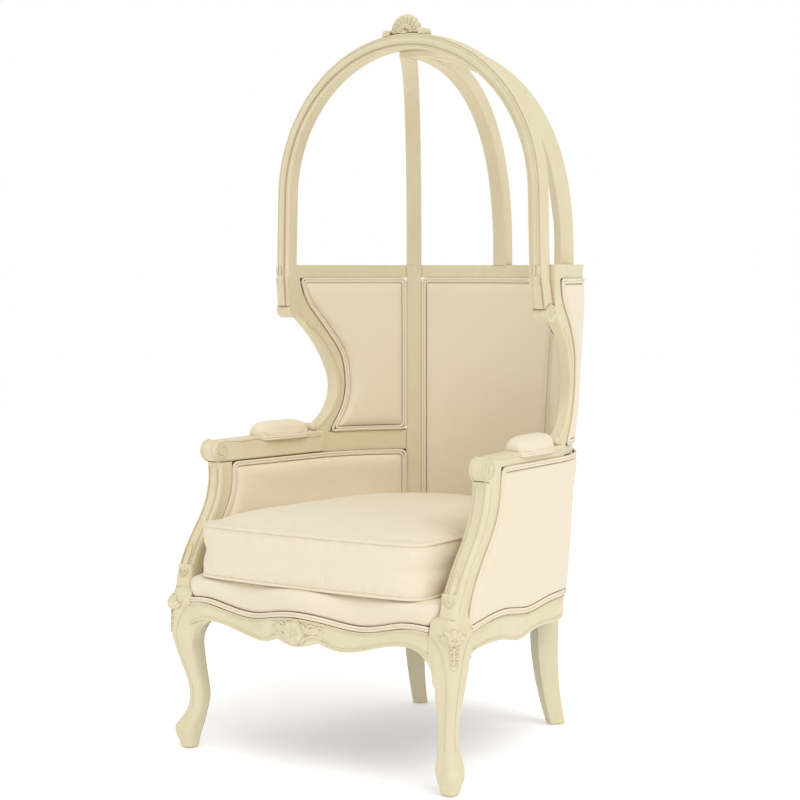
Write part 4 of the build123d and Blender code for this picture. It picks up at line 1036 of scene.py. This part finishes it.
def landed(tree, places, ways, clear=0.04, reach=0.05):
    """Points where the wood is first met along ways, from a clearance ahead of each place; a miss is NaN."""
    ways = np.broadcast_to(ways, places.shape)
    out = np.full(places.shape, np.nan)
    for index in np.ndindex(places.shape[:-1]):
        start = Vector(places[index] - ways[index] * clear)
        hit = tree.ray_cast(start, Vector(ways[index]), clear + reach)[0]
        if hit is not None:
            out[index] = hit
    return out


def strokes(x, y, lines):
    """Height of rounded ridges drawn on a plane.

    Each line is its points, the ridge's half width along it and a height share. Across a ridge the
    height is half an ellipse, and where ridges meet the highest one wins.
    """
    height = np.full(x.shape, -1.0)
    for points, half, share in lines:
        line = spline(points, 50)
        width = np.interp(np.linspace(0, 1, 50), np.linspace(0, 1, len(half)), half)
        for (px, py), w in zip(line, width):
            inside = 1 - ((x - px) ** 2 + (y - py) ** 2) / w ** 2
            height = np.maximum(height, np.where(inside > 0, np.sqrt(np.abs(inside)) * w * share, -1.0))
    return height


def petal(x, y, middle, angle, start, length, half, rise, ribs=2):
    """Height of a petal that leaves a middle at an angle: oval, domed across, with ribs along it."""
    along = (x - middle[0]) * math.cos(angle) + (y - middle[1]) * math.sin(angle)
    across = -(x - middle[0]) * math.sin(angle) + (y - middle[1]) * math.cos(angle)
    t = np.clip((along - start) / length, 0, 1)
    share = across / (half * np.sin(math.pi * (0.1 + 0.82 * t)) ** 0.7)
    inside = (np.abs(share) < 1) & (along > start) & (along < start + length)
    arch = 0.5 + 0.5 * np.sin(math.pi * np.clip(t, 0, 0.96)) ** 0.6
    domed = np.sqrt(np.clip(1 - share ** 2, 0, 1)) * arch
    return np.where(inside, rise * (domed + 0.14 * np.cos(share * math.pi * ribs)), -1.0)


def dome(x, y, middle, radius, rise):
    """Height of a round boss."""
    inside = 1 - ((x - middle[0]) ** 2 + (y - middle[1]) ** 2) / radius ** 2
    return np.where(inside > 0, rise * np.sqrt(np.abs(inside)), -1.0)


def rosette(x, y, middle, radius, rise, petals, turn):
    """Height of a flower of equal petals round a bead."""
    height = dome(x, y, middle, radius * 0.2, rise * 1.3)
    for k in range(petals):
        height = np.maximum(height, petal(x, y, middle, turn + 2 * math.pi * k / petals, radius * 0.1,
                                          radius * 0.9, radius * math.sin(math.pi / petals) * 0.9, rise))
    return height


def both_hands(lines):
    """Lines together with their mirror images about the middle."""
    return lines + [([(-x, y) for x, y in points], half, share) for points, half, share in lines]


def relief(name, tree, places, ways, height, hand=1):
    """Carved patch: a grid is laid on the wood along ways and each point stands out by its height.

    Where there is no height the patch dips under the wood. Faces wholly under it, or off its edge,
    are left out, and the rest is closed behind.
    """
    ways = np.broadcast_to(ways, places.shape)
    base = landed(tree, places, ways)
    missed = np.isnan(base[..., 0]).ravel()
    bare = missed | (height.ravel() <= 0)
    points = np.nan_to_num(base) - ways * np.where(height > 0, height, -0.0012)[..., None]
    piece = make_object(name, (points * (hand, 1, 1)).reshape(-1, 3), grid_faces(*height.shape))
    work = bmesh.new()
    work.from_mesh(piece.data)
    corners = [[vertex.index for vertex in face.verts] for face in work.faces]
    gone = [face for face, rim in zip(work.faces, corners) if bare[rim].all() or missed[rim].any()]
    bmesh.ops.delete(work, geom=gone, context="FACES")
    bmesh.ops.solidify(work, geom=work.faces[:], thickness=0.0008)
    bmesh.ops.recalc_face_normals(work, faces=work.faces)
    work.to_mesh(piece.data)
    work.free()
    piece.data.polygons.foreach_set("use_smooth", np.full(len(piece.data.polygons), True))
    return piece


def bead(name, tree, places, ways, size, hand=1):
    """Thin raised line of a half width and height along the wood, its ends run out, half sunk in it."""
    ways = np.broadcast_to(ways, places.shape)
    path = landed(tree, places, ways)
    found = ~np.isnan(path[:, 0])
    path, out = path[found], -ways[found]
    for _ in range(3):
        path[1:-1] = (path[:-2] + 2 * path[1:-1] + path[2:]) / 4
    return tube_object(name, path * (hand, 1, 1), out * (hand, 1, 1), *size, 8, closed=False)


def wall_rays(y, z, face):
    """Places on one face of the right-hand wall and the ways square to it, face 1 outside and -1 inside."""
    near = side_wall(y, z, face * 0.02)
    far = side_wall(y, z, face * 0.05)
    return near, unit(near - far)


def foot_scroll_rings():
    """Rings of the small roll at a wing post's foot: a short drum across the wall with rounded ends.

    Its radius falls to nothing at the ends as r * sqrt(1 - s^6), s the share of the half length.
    """
    turn = np.linspace(0, 2 * math.pi, 40, endpoint=False)
    share = np.sin(np.linspace(-0.5, 0.5, 18)[1:-1] * math.pi)
    radius = 0.0108 * np.sqrt(1 - np.abs(share) ** 6)
    y, z = FOOT_SCROLL
    return np.array([side_wall(y + r * np.cos(turn), z + r * np.sin(turn), s * 0.0195)
                     for s, r in zip(share, radius)])


def leg_rays(tree, arc, z):
    """Rays at the right front leg's outer front corner, by arc from the corner's middle toward the side.

    The leg's front and outer side are found at each height, and the corner between them is a
    quarter circle that is wide at the block and narrower below.
    """
    heights = np.linspace(z.min(), z.max(), 60)
    middle = np.array([0.352, -0.345])
    probe = np.column_stack([np.full(60, middle[0]), np.full(60, middle[1]), heights])
    front = landed(tree, probe, np.array([0.0, 1.0, 0.0]), 0.15, 0)[:, 1]
    side = landed(tree, probe, np.array([-1.0, 0.0, 0.0]), 0.15, 0)[:, 0]
    y = np.interp(z, heights, front)
    x = np.interp(z, heights, side)
    radius = 0.0125 + 0.0115 * np.clip((z - 0.25) / 0.04, 0, 1)
    limit = radius * math.pi / 4
    bend = np.clip(arc, -limit, limit)
    turn = bend / radius - math.pi / 4
    out = np.stack([np.cos(turn), np.sin(turn), 0 * turn], -1)
    along = np.stack([-np.sin(turn), np.cos(turn), 0 * turn], -1)
    centre = np.stack([x - radius, y + radius, z], -1)
    return centre + out * radius[..., None] + along * (arc - bend)[..., None], -out


def support_rays(across, along):
    """Rays at the arm support's front, by the distances across it and up along it from its foot."""
    line = spline(SUPPORT_EDGE, 200)
    run = run_along(line)
    y, z = np.interp(along, run, line[:, 0]), np.interp(along, run, line[:, 1])
    dy, dz = np.interp(along, run, np.gradient(line[:, 0])), np.interp(along, run, np.gradient(line[:, 1]))
    return side_wall(y, z, across), unit(np.stack([0 * y, dz, -dy], -1))


def patch(left, right, low, high, step):
    """Grid of places on a plane: rows go up, columns across."""
    return np.meshgrid(np.arange(left, right, step), np.arange(low, high, step))


def cartouche_height(x, z):
    """Shell of ribbed petals on the front rail, between two scrolled leaves."""
    lines = both_hands([
        ([(0.027, 0.004), (0.034, 0.015), (0.041, 0.018), (0.048, 0.013), (0.050, 0.008)],
         (0.003, 0.0034, 0.002), 0.9),
        ([(0.046, 0.004), (0.053, 0.012), (0.060, 0.015), (0.068, 0.011), (0.070, 0.005)],
         (0.002, 0.003, 0.0018), 0.9),
        ([(0.027, -0.012), (0.040, -0.006), (0.055, -0.006), (0.070, -0.011), (0.082, -0.014)],
         (0.0036, 0.003, 0.0014), 0.8),
    ])
    forms = [petal(x, z, (0, 0), angle, start=0.026, length=0.034, half=0.0085, rise=0.0022, ribs=3)
             for angle in (0.12, math.pi - 0.12)]
    shell = rosette(x, z, (0, 0), radius=0.031, rise=0.0055, petals=6, turn=0.42)
    return np.max([shell, strokes(x, z, lines), *forms], 0)


def knee_height(s, z):
    """Flower between scrolled leaves over a string of husks, by arc and height from the flower's middle."""
    lines = both_hands([
        ([(0.012, -0.007), (0.022, -0.005), (0.031, 0.000), (0.038, 0.009)], (0.0040, 0.0036, 0.0014), 0.8),
        ([(0.009, -0.014), (0.011, -0.022), (0.0095, -0.032), (0.009, -0.05), (0.006, -0.061), (0, -0.064)],
         (0.001, 0.0014, 0.0014), 0.8),
    ])
    forms = [rosette(s, z, (0, 0), radius=0.0125, rise=0.0046, petals=5, turn=0.3), strokes(s, z, lines)]
    for share, length in ((0.06, 0.022), (0.25, 0.020), (0.5, 0.017), (0.75, 0.020), (0.94, 0.022)):
        forms.append(petal(s, z, (0, -0.002), share * math.pi, start=0.008, length=length, half=0.0074,
                           rise=0.0042, ribs=1))
    for low, size in ((-0.0195, 1.0), (-0.034, 0.85), (-0.046, 0.7)):
        forms.append(dome(s, z, (0, low), radius=0.0042 * size, rise=0.0036 * size))
        for angle in (-0.75, -0.5, -0.25):
            forms.append(petal(s, z, (0, low), angle * math.pi, start=0.003 * size, length=0.0105 * size,
                               half=0.0032 * size, rise=0.003 * size, ribs=1))
    return np.max(forms, 0)


def support_height(across, along):
    """Long channel between two ridges that meet in a round end over the knee, with a leaf lying in it."""
    top = 0.292
    ridge = [(0.0, 0.024), (0.0085, 0.028), (0.0125, 0.044), (0.0125, 0.12), (0.0120, 0.2), (0.0125, top)]
    height = strokes(across, along, both_hands([(ridge, (0.0022, 0.0022, 0.002), 0.75)]))
    leaf = petal(across, along, (0, 0.034), math.pi / 2, start=0, length=0.066, half=0.0078, rise=0.0034,
                 ribs=1)
    return np.maximum(height, leaf)


def finial_height(x, z):
    """Narrow ribs between the shell's flutes and a lower row of short ones, by place from the fan's foot."""
    lines = []
    for k in range(17):
        angle = math.pi / 2 - math.radians(78 - k * 9.75)
        way = np.array([math.cos(angle), math.sin(angle)])
        if k % 2:
            lines.append(([way * 0.014, way * 0.028, way * 0.040], (0.0012, 0.0024, 0.0018), 1.2))
        else:
            lines.append(([way * 0.008, way * 0.014, way * 0.021], (0.0014, 0.0032, 0.0026), 0.9))
    return strokes(x, z, lines)


# Settings and operators


class ChairSettings(PropertyGroup):
    """Sizes and colours of the chair's looks that a user would change."""

    paint: FloatVectorProperty(name="Paint", description="Colour of the painted frame", subtype="COLOR",
                               size=4, min=0, max=1, default=srgb(219, 209, 179))
    glaze: FloatVectorProperty(name="Glaze", description="Darker glaze left in the carving", subtype="COLOR",
                               size=4, min=0, max=1, default=srgb(150, 126, 82))
    linen: FloatVectorProperty(name="Linen", description="Colour of the upholstery cloth", subtype="COLOR",
                               size=4, min=0, max=1, default=srgb(238, 228, 209))
    welt_lift: FloatProperty(name="Welt lift", unit="LENGTH", default=0.0022,
                             description="How far the welt's middle stands out of the frame's face")


def settings():
    """The scene's chair settings."""
    return bpy.context.scene.chair


class CHAIR_OT_finishes(Operator):
    """Make the paint, linen and small materials, and give them to the frame's own nodes"""

    bl_idname = "chair.finishes"
    bl_label = "Finishes"

    def execute(self, context):
        """Make each material once and assign it by the record's slot."""
        s = settings()
        linen = linen_material(tuple(s.linen))
        MATERIALS.update(
            beech=beech_material(),
            jute_webbing=woven_material("jute webbing", srgb(186, 158, 112), srgb(128, 98, 58), 0.0024),
            dust_cloth=woven_material("dust cover cloth", srgb(72, 68, 62), srgb(40, 38, 35), 0.0012),
            screw_steel=screw_material(),
            glide_plastic=glide_material(),
            painted_wood=painted_wood_material(tuple(s.paint), tuple(s.glaze)),
            linen=linen,
            welt_linen=linen,
        )
        for row in frame["record"]["subparts"]:
            node = NODES[row["node"]]
            node.data.materials.clear()
            node.data.materials.append(MATERIALS[row["material_slot"]])
        return {"FINISHED"}


class CHAIR_OT_panels(Operator):
    """Stuffed wing, side and back panels with their double welts"""

    bl_idname = "chair.panels"
    bl_label = "Panels"

    def execute(self, context):
        """Build each side panel right and left, and each back panel once."""
        for seed, (name, shape) in enumerate(PANELS.items()):
            for hand, end in HANDS:
                upholster(name, shape, hand, seed * 2 + hand + 1, f"_{end}")
        for seed, (name, shape) in enumerate(BACK_PANELS.items()):
            upholster(name, shape, 1, seed + 20, count=700)
        return {"FINISHED"}


class CHAIR_OT_cushion(Operator):
    """Loose box-edged seat cushion with piping along both seams"""

    bl_idname = "chair.cushion"
    bl_label = "Seat cushion"

    def execute(self, context):
        """Stack the cushion's rings, then run piping along its seams."""
        rings, ring = cushion_points(300)
        cushion = closed_stack("loose_cushion", rings)
        stuffed(cushion, lambda points: (points[:, 2] < lower_seam(points[:, 1]) + 0.0001)
                | (np.abs(points[:, 2] - CUSHION_TOP_SEAM) < 0.0001), STUFFING_PRESSURE, most=0.008)
        finish(cushion, "linen", ["seat_cushion"], "seat_cushion")
        edge = ring + ring_normals(ring) * 0.001
        seams = (lower_seam(ring[:, 1]), np.full(len(ring), CUSHION_TOP_SEAM))
        cords = piping("cushion_piping", [np.column_stack([edge, z]) for z in seams], UP, *PIPING_SIZE)
        finish(cords, "welt_linen", body="seat_cushion")
        return {"FINISHED"}


class CHAIR_OT_deck(Operator):
    """Padded seat deck with its double welt along the front rail"""

    bl_idname = "chair.deck"
    bl_label = "Seat deck"

    def execute(self, context):
        """Stack the deck's rings and lay the welt along the waved rail."""
        deck = closed_stack("sprung_deck", deck_points(420))
        finish(deck, "linen", ["seat_deck"])
        paths = [rail_welt_path(0.0036, 0.004), rail_welt_path(0.0092, 0.005)]
        welt = piping("rail_double_welt", paths, np.array([0.0, -1.0, 0.2]), *WELT_SIZE, closed=False)
        finish(welt, "welt_linen", ["seat_rail_welt"])
        return {"FINISHED"}


class CHAIR_OT_arm_pads(Operator):
    """Padded elbow rests with a double welt round each"""

    bl_idname = "chair.arm_pads"
    bl_label = "Elbow rests"

    def execute(self, context):
        """Build each elbow rest and its welt, right and left."""
        rings = arm_pad_rings(96)
        for hand, end in HANDS:
            pad = closed_stack(f"elbow_rest_{end}", rings * (hand, 1, 1))
            stuffed(pad, lambda points: points[:, 2] < REST_LOW + 0.004, STUFFING_PRESSURE, most=0.0035)
            finish(pad, "linen", [f"arm_pad_{end}"])
            base = rings[3] * (hand, 1, 1)
            middle = base.mean(0)
            paths = []
            for grow, lift in ((1.03, 0.0), (1.025, 0.0048)):
                path = middle + (base - middle) * (grow + (grow - 1) * 1.2, grow, 1) + (0, 0, lift)
                paths.append(resampled(path, 160, closed=True))
            finish(piping(f"elbow_welt_{end}", paths, UP, *REST_WELT_SIZE), "welt_linen")
        return {"FINISHED"}


class CHAIR_OT_legs(Operator):
    """Front legs with knees that flow from the rails and the arm supports"""

    bl_idname = "chair.legs"
    bl_label = "Front legs"

    def execute(self, context):
        """Make the right leg's surface and its mirror image."""
        points, faces = carved_leg()
        LEG_TREE.append(BVHTree.FromPolygons(points.tolist(), faces.tolist()))
        for hand, end in HANDS:
            leg = make_object(f"carved_leg_{end}", points * (hand, 1, 1), faces[:, ::hand])
            finish(leg, "painted_wood", [f"front_leg_{end}"])
        return {"FINISHED"}


class CHAIR_OT_carving(Operator):
    """Carved shell, knee flowers, support channels, wing leaves, foot scrolls and the finial's ribs"""

    bl_idname = "chair.carving"
    bl_label = "Carving"

    def execute(self, context):
        """Lay each carved patch on the frame's own wood."""
        x, z = patch(-0.088, 0.088, -0.040, 0.034, 0.0008)
        places = at(x, RAIL_FRONT_Y, z + CARTOUCHE_Z)
        finish(relief("rail_shell", wood_tree("front_seat_rail"), places, REARWARD, cartouche_height(x, z)),
               "painted_wood")
        x, z = patch(-0.048, 0.048, 0.0, 0.048, 0.0007)
        places = at(x, FINIAL_FRONT_Y, z + ARCH_CROWN)
        finish(relief("shell_ribs", wood_tree("shell_finial"), places, REARWARD, finial_height(x, z)),
               "painted_wood")
        knee = patch(-0.044, 0.044, -0.068, 0.022, 0.0008)
        channel = patch(-0.0165, 0.0165, 0.018, 0.296, 0.0008)
        leaf = patch(-0.016, 0.016, -0.02, 0.02, 0.0007)
        petals = [petal(*leaf, (0, -0.014), angle, start=0, length=0.026, half=0.0055, rise=0.0025)
                  for angle in (0.9, 1.57, 2.24)]
        leaf_height = np.max(petals, 0)
        leg, support, wing = LEG_TREE[0], wood_tree("arm_support_right"), wood_tree("wing_post_right")
        knee_rays = leg_rays(leg, knee[0], knee[1] + KNEE_FLOWER_Z)
        channel_rays = support_rays(*channel)
        leaf_rays = wall_rays(leaf[0] + WING_LEAF[0], leaf[1] + WING_LEAF[1], -1)
        makers = {
            "knee_flower": lambda name, hand: relief(name, leg, *knee_rays, knee_height(*knee), hand),
            "wing_foot_scroll": lambda name, hand: closed_stack(name, foot_scroll_rings() * (hand, 1, 1)),
            "support_channel": lambda name, hand: relief(name, support, *channel_rays,
                                                         support_height(*channel), hand),
            "wing_leaf": lambda name, hand: relief(name, wing, *leaf_rays, leaf_height, hand),
        }
        for hand, end in HANDS:
            for name, make in makers.items():
                finish(make(f"{name}_{end}", hand), "painted_wood")
        return {"FINISHED"}


class CHAIR_OT_mouldings(Operator):
    """Thin raised lines along the arch, wing posts, arms, supports, rails and legs"""

    bl_idname = "chair.mouldings"
    bl_label = "Mouldings"

    def execute(self, context):
        """Run the arch's and front rail's lines, then those of each side."""
        arch = wood_tree("arch_right", "arch_left")
        lines = []
        for offset in (-0.0045, 0.0105):
            radius = ARCH_RADIUS + offset
            turn = np.linspace(ARCH_LEAN, math.pi - ARCH_LEAN, 260)
            x, z = radius * np.cos(turn), ARCH_Z + radius * np.sin(turn)
            low = np.linspace(1.062, z[0], 60)[:-1]
            side = x[0] + (z[0] - low) * math.tan(ARCH_LEAN)
            x, z = np.concatenate([side, x, -side[::-1]]), np.concatenate([low, z, low[::-1]])
            lines.append(bead("arch_line", arch, at(x, ARCH_FRONT_Y, z), REARWARD, ARCH_BEAD))
        rail = wood_tree("front_seat_rail")
        x = np.linspace(-0.326, 0.326, 300)
        top = np.interp(x, *spline(RAIL_LINE, 300).T) - 0.0045
        lines.append(bead("rail_line", rail, at(x, RAIL_FRONT_Y, top), REARWARD, RAIL_BEAD))
        low = spline(RAIL_LOW, 160) + (0, BEAD_STEP)
        for hand, _ in HANDS:
            places = at(low[:, 0], RAIL_FRONT_Y, low[:, 1])
            lines.append(bead("rail_line", rail, places, REARWARD, RAIL_BEAD, hand))
        for hand, _ in HANDS:
            lines += self.side_lines(hand)
        finish(joined("frame_mouldings", lines), "painted_wood")
        return {"FINISHED"}

    def side_lines(self, hand):
        """Lines on one side of the chair."""
        rail, leg = wood_tree("side_seat_rail_right"), LEG_TREE[0]
        wing, arm = wood_tree("wing_post_right"), wood_tree("arm_right")
        support = wood_tree("arm_support_right")
        lines = []
        sill, low = spline(SILL, 160), spline(SIDE_LOW, 160)
        for line, step in ((sill, -0.005), (low, BEAD_STEP)):
            line = line[line[:, 0] < 0.22]
            places, ways = wall_rays(line[:, 0], line[:, 1] + step, 1)
            lines.append(bead("side_rail_line", rail, places, ways, RAIL_BEAD, hand))
        for end in (1, -1):
            line = spline(LEG_LINE, 120)
            places, ways = leg_rays(leg, line[:, 0] * end, line[:, 1])
            lines.append(bead("leg_line", leg, places, ways, LEG_BEAD, hand))
        edge = spline(WING_EDGE, 160)
        for face in (1, -1):
            places, ways = wall_rays(edge[:, 0] + 0.0125, edge[:, 1], face)
            lines.append(bead("wing_line", wing, places, ways, POST_BEAD, hand))
            places, ways = wall_rays(*self.volute().T, face)
            lines.append(bead("volute", arm, places, ways, VOLUTE_BEAD, hand))
            turn = np.linspace(0.45 * math.pi, 1.5 * math.pi, 60)
            out = np.stack([0 * turn, np.cos(turn), np.sin(turn)], -1)
            y, z = SCROLL[0] + 0.028 * out[:, 1], SCROLL[1] + 0.028 * out[:, 2]
            lines.append(bead("roll_rim", arm, side_wall(y, z, face * 0.0155), -out, RIM_BEAD, hand))
            front = spline(SUPPORT_EDGE, 120)[4:-4]
            places, ways = wall_rays(front[:, 0] + 0.0135, front[:, 1], face)
            lines.append(bead("support_line", support, places, ways, RAIL_BEAD, hand))
        turn = np.linspace(0, 3.4 * math.pi, 90)
        radius = 0.0155 - 0.0035 * turn / math.pi
        places = at(ROLL[0], ROLL[1] + radius * np.cos(turn), ROLL[2] + radius * np.sin(turn))
        lines.append(bead("roll_spiral", wing, places, np.array([-1.0, 0.0, 0.0]), POST_BEAD, hand))
        return lines

    def volute(self):
        """Line in Y and Z along an arm, down round the elbow rest and into the scroll at its front."""
        turn = np.linspace(0.5 * math.pi, 3.9 * math.pi, 130)
        radius = 0.0225 - 0.0048 * (turn - 0.5 * math.pi) / math.pi
        scroll = np.stack([SCROLL[0] + radius * np.cos(turn), SCROLL[1] + radius * np.sin(turn)], 1)
        along = spline([(0.085, 0.691), (0.0, 0.691), (-0.09, 0.691), (-0.110, 0.692), (-0.124, 0.6965),
                        (-0.16, 0.697), (-0.215, 0.6975), (-0.245, scroll[0, 1])], 120)
        return np.concatenate([along, scroll[4:]])


class CHAIR_OT_stage(Operator):
    """Floor, soft studio light and the camera at the photograph's view"""

    bl_idname = "chair.stage"
    bl_label = "Stage"

    def execute(self, context):
        """Make the floor, world, lamps and camera."""
        scene = context.scene
        corners = np.array([[-1, -1, 0], [1, -1, 0], [1, 1, 0], [-1, 1, 0]], float) * FLOOR_REACH
        floor = make_object("studio_floor", corners, np.array([[0, 1, 2, 3]]), smooth=False)
        n = Nodes("studio floor")
        n.dress({"Base Color": (0.95, 0.95, 0.95, 1.0), "Roughness": 1.0, "Specular IOR Level": 0.0,
                 "Emission Color": (1.0, 1.0, 1.0, 1.0), "Emission Strength": 0.3})
        floor.data.materials.append(n.material)
        world = bpy.data.worlds.new("studio")
        world.use_nodes = True
        scene.world = world
        tree = world.node_tree
        background = tree.nodes["Background"]
        path = tree.nodes.new("ShaderNodeLightPath")
        level = tree.nodes.new("ShaderNodeMapRange")
        level.inputs["To Min"].default_value = SKY_LIGHT
        level.inputs["To Max"].default_value = 1.0
        seen = path.outputs["Is Camera Ray"]
        for ray in ("Is Glossy Ray", "Is Transmission Ray"):
            most = tree.nodes.new("ShaderNodeMath")
            most.operation = "MAXIMUM"
            tree.links.new(seen, most.inputs[0])
            tree.links.new(path.outputs[ray], most.inputs[1])
            seen = most.outputs[0]
        tree.links.new(seen, level.inputs["Value"])
        tree.links.new(level.outputs[0], background.inputs["Strength"])
        background.inputs["Color"].default_value = (1.0, 1.0, 1.0, 1.0)
        for name, (place, spread, power) in LAMPS.items():
            lamp = bpy.data.lights.new(name, "SUN")
            lamp.angle = math.radians(spread)
            lamp.energy = power
            holder = bpy.data.objects.new(name, lamp)
            scene.collection.objects.link(holder)
            aim(holder, np.array(place, float), np.array(LAMP_AIM, float))
        scene.view_settings.view_transform = "Standard"
        self.camera(scene)
        return {"FINISHED"}

    def camera(self, scene):
        """Camera fitted to the photograph."""
        data = bpy.data.cameras.new("photo_camera")
        data.sensor_width = SENSOR
        data.lens = PHOTO_FOCAL * SENSOR / PHOTO_PIXELS
        holder = bpy.data.objects.new("photo_camera", data)
        scene.collection.objects.link(holder)
        level = np.array([math.sin(PHOTO_AZIMUTH), -math.cos(PHOTO_AZIMUTH), 0.0])
        back = level * math.cos(PHOTO_PITCH) + UP * math.sin(PHOTO_PITCH)
        right = np.array([math.cos(PHOTO_AZIMUTH), math.sin(PHOTO_AZIMUTH), 0.0])
        middle = np.array([0, PHOTO_MIDDLE_Y, PHOTO_AIM_Z * PHOTO_SCALE])
        place = middle + back * PHOTO_DISTANCE * PHOTO_SCALE + right * (PHOTO_SHIFT * PHOTO_SCALE)
        aim(holder, place, place - back)
        scene.camera = holder


def aim(holder, place, target):
    """Put a lamp or camera at a place so that it looks at a target, level."""
    back = unit(place - target)
    right = unit(np.cross((0, 0, 1), back))
    up = np.cross(back, right)
    matrix = np.eye(4)
    matrix[:3, 0], matrix[:3, 1], matrix[:3, 2], matrix[:3, 3] = right, up, back, place
    holder.matrix_world = Matrix(matrix.tolist())


class CHAIR_PT_parts(Panel):
    """Sidebar panel that lists the chair's parts"""

    bl_label = "Dome Throne Chair"
    bl_space_type = "VIEW_3D"
    bl_region_type = "UI"
    bl_category = "Chair"

    def draw(self, context):
        """Show the settings and one button for each part."""
        for name in ("paint", "glaze", "linen", "welt_lift"):
            self.layout.prop(context.scene.chair, name)
        for step in STEPS:
            self.layout.operator(step.bl_idname)


STEPS = (CHAIR_OT_finishes, CHAIR_OT_panels, CHAIR_OT_cushion, CHAIR_OT_deck, CHAIR_OT_arm_pads,
         CHAIR_OT_legs, CHAIR_OT_carving, CHAIR_OT_mouldings, CHAIR_OT_stage)
CLASSES = (ChairSettings, *STEPS, CHAIR_PT_parts)


def register():
    """Register the classes and the scene's settings."""
    for item in CLASSES:
        bpy.utils.register_class(item)
    bpy.types.Scene.chair = PointerProperty(type=ChairSettings)


def unregister():
    """Remove the classes and the scene's settings."""
    del bpy.types.Scene.chair
    for item in reversed(CLASSES):
        bpy.utils.unregister_class(item)


def main():
    """Build the chair in order."""
    register()
    for step in STEPS:
        group, name = step.bl_idname.split(".")
        getattr(getattr(bpy.ops, group), name)()


if __name__ == "__main__":
    main()
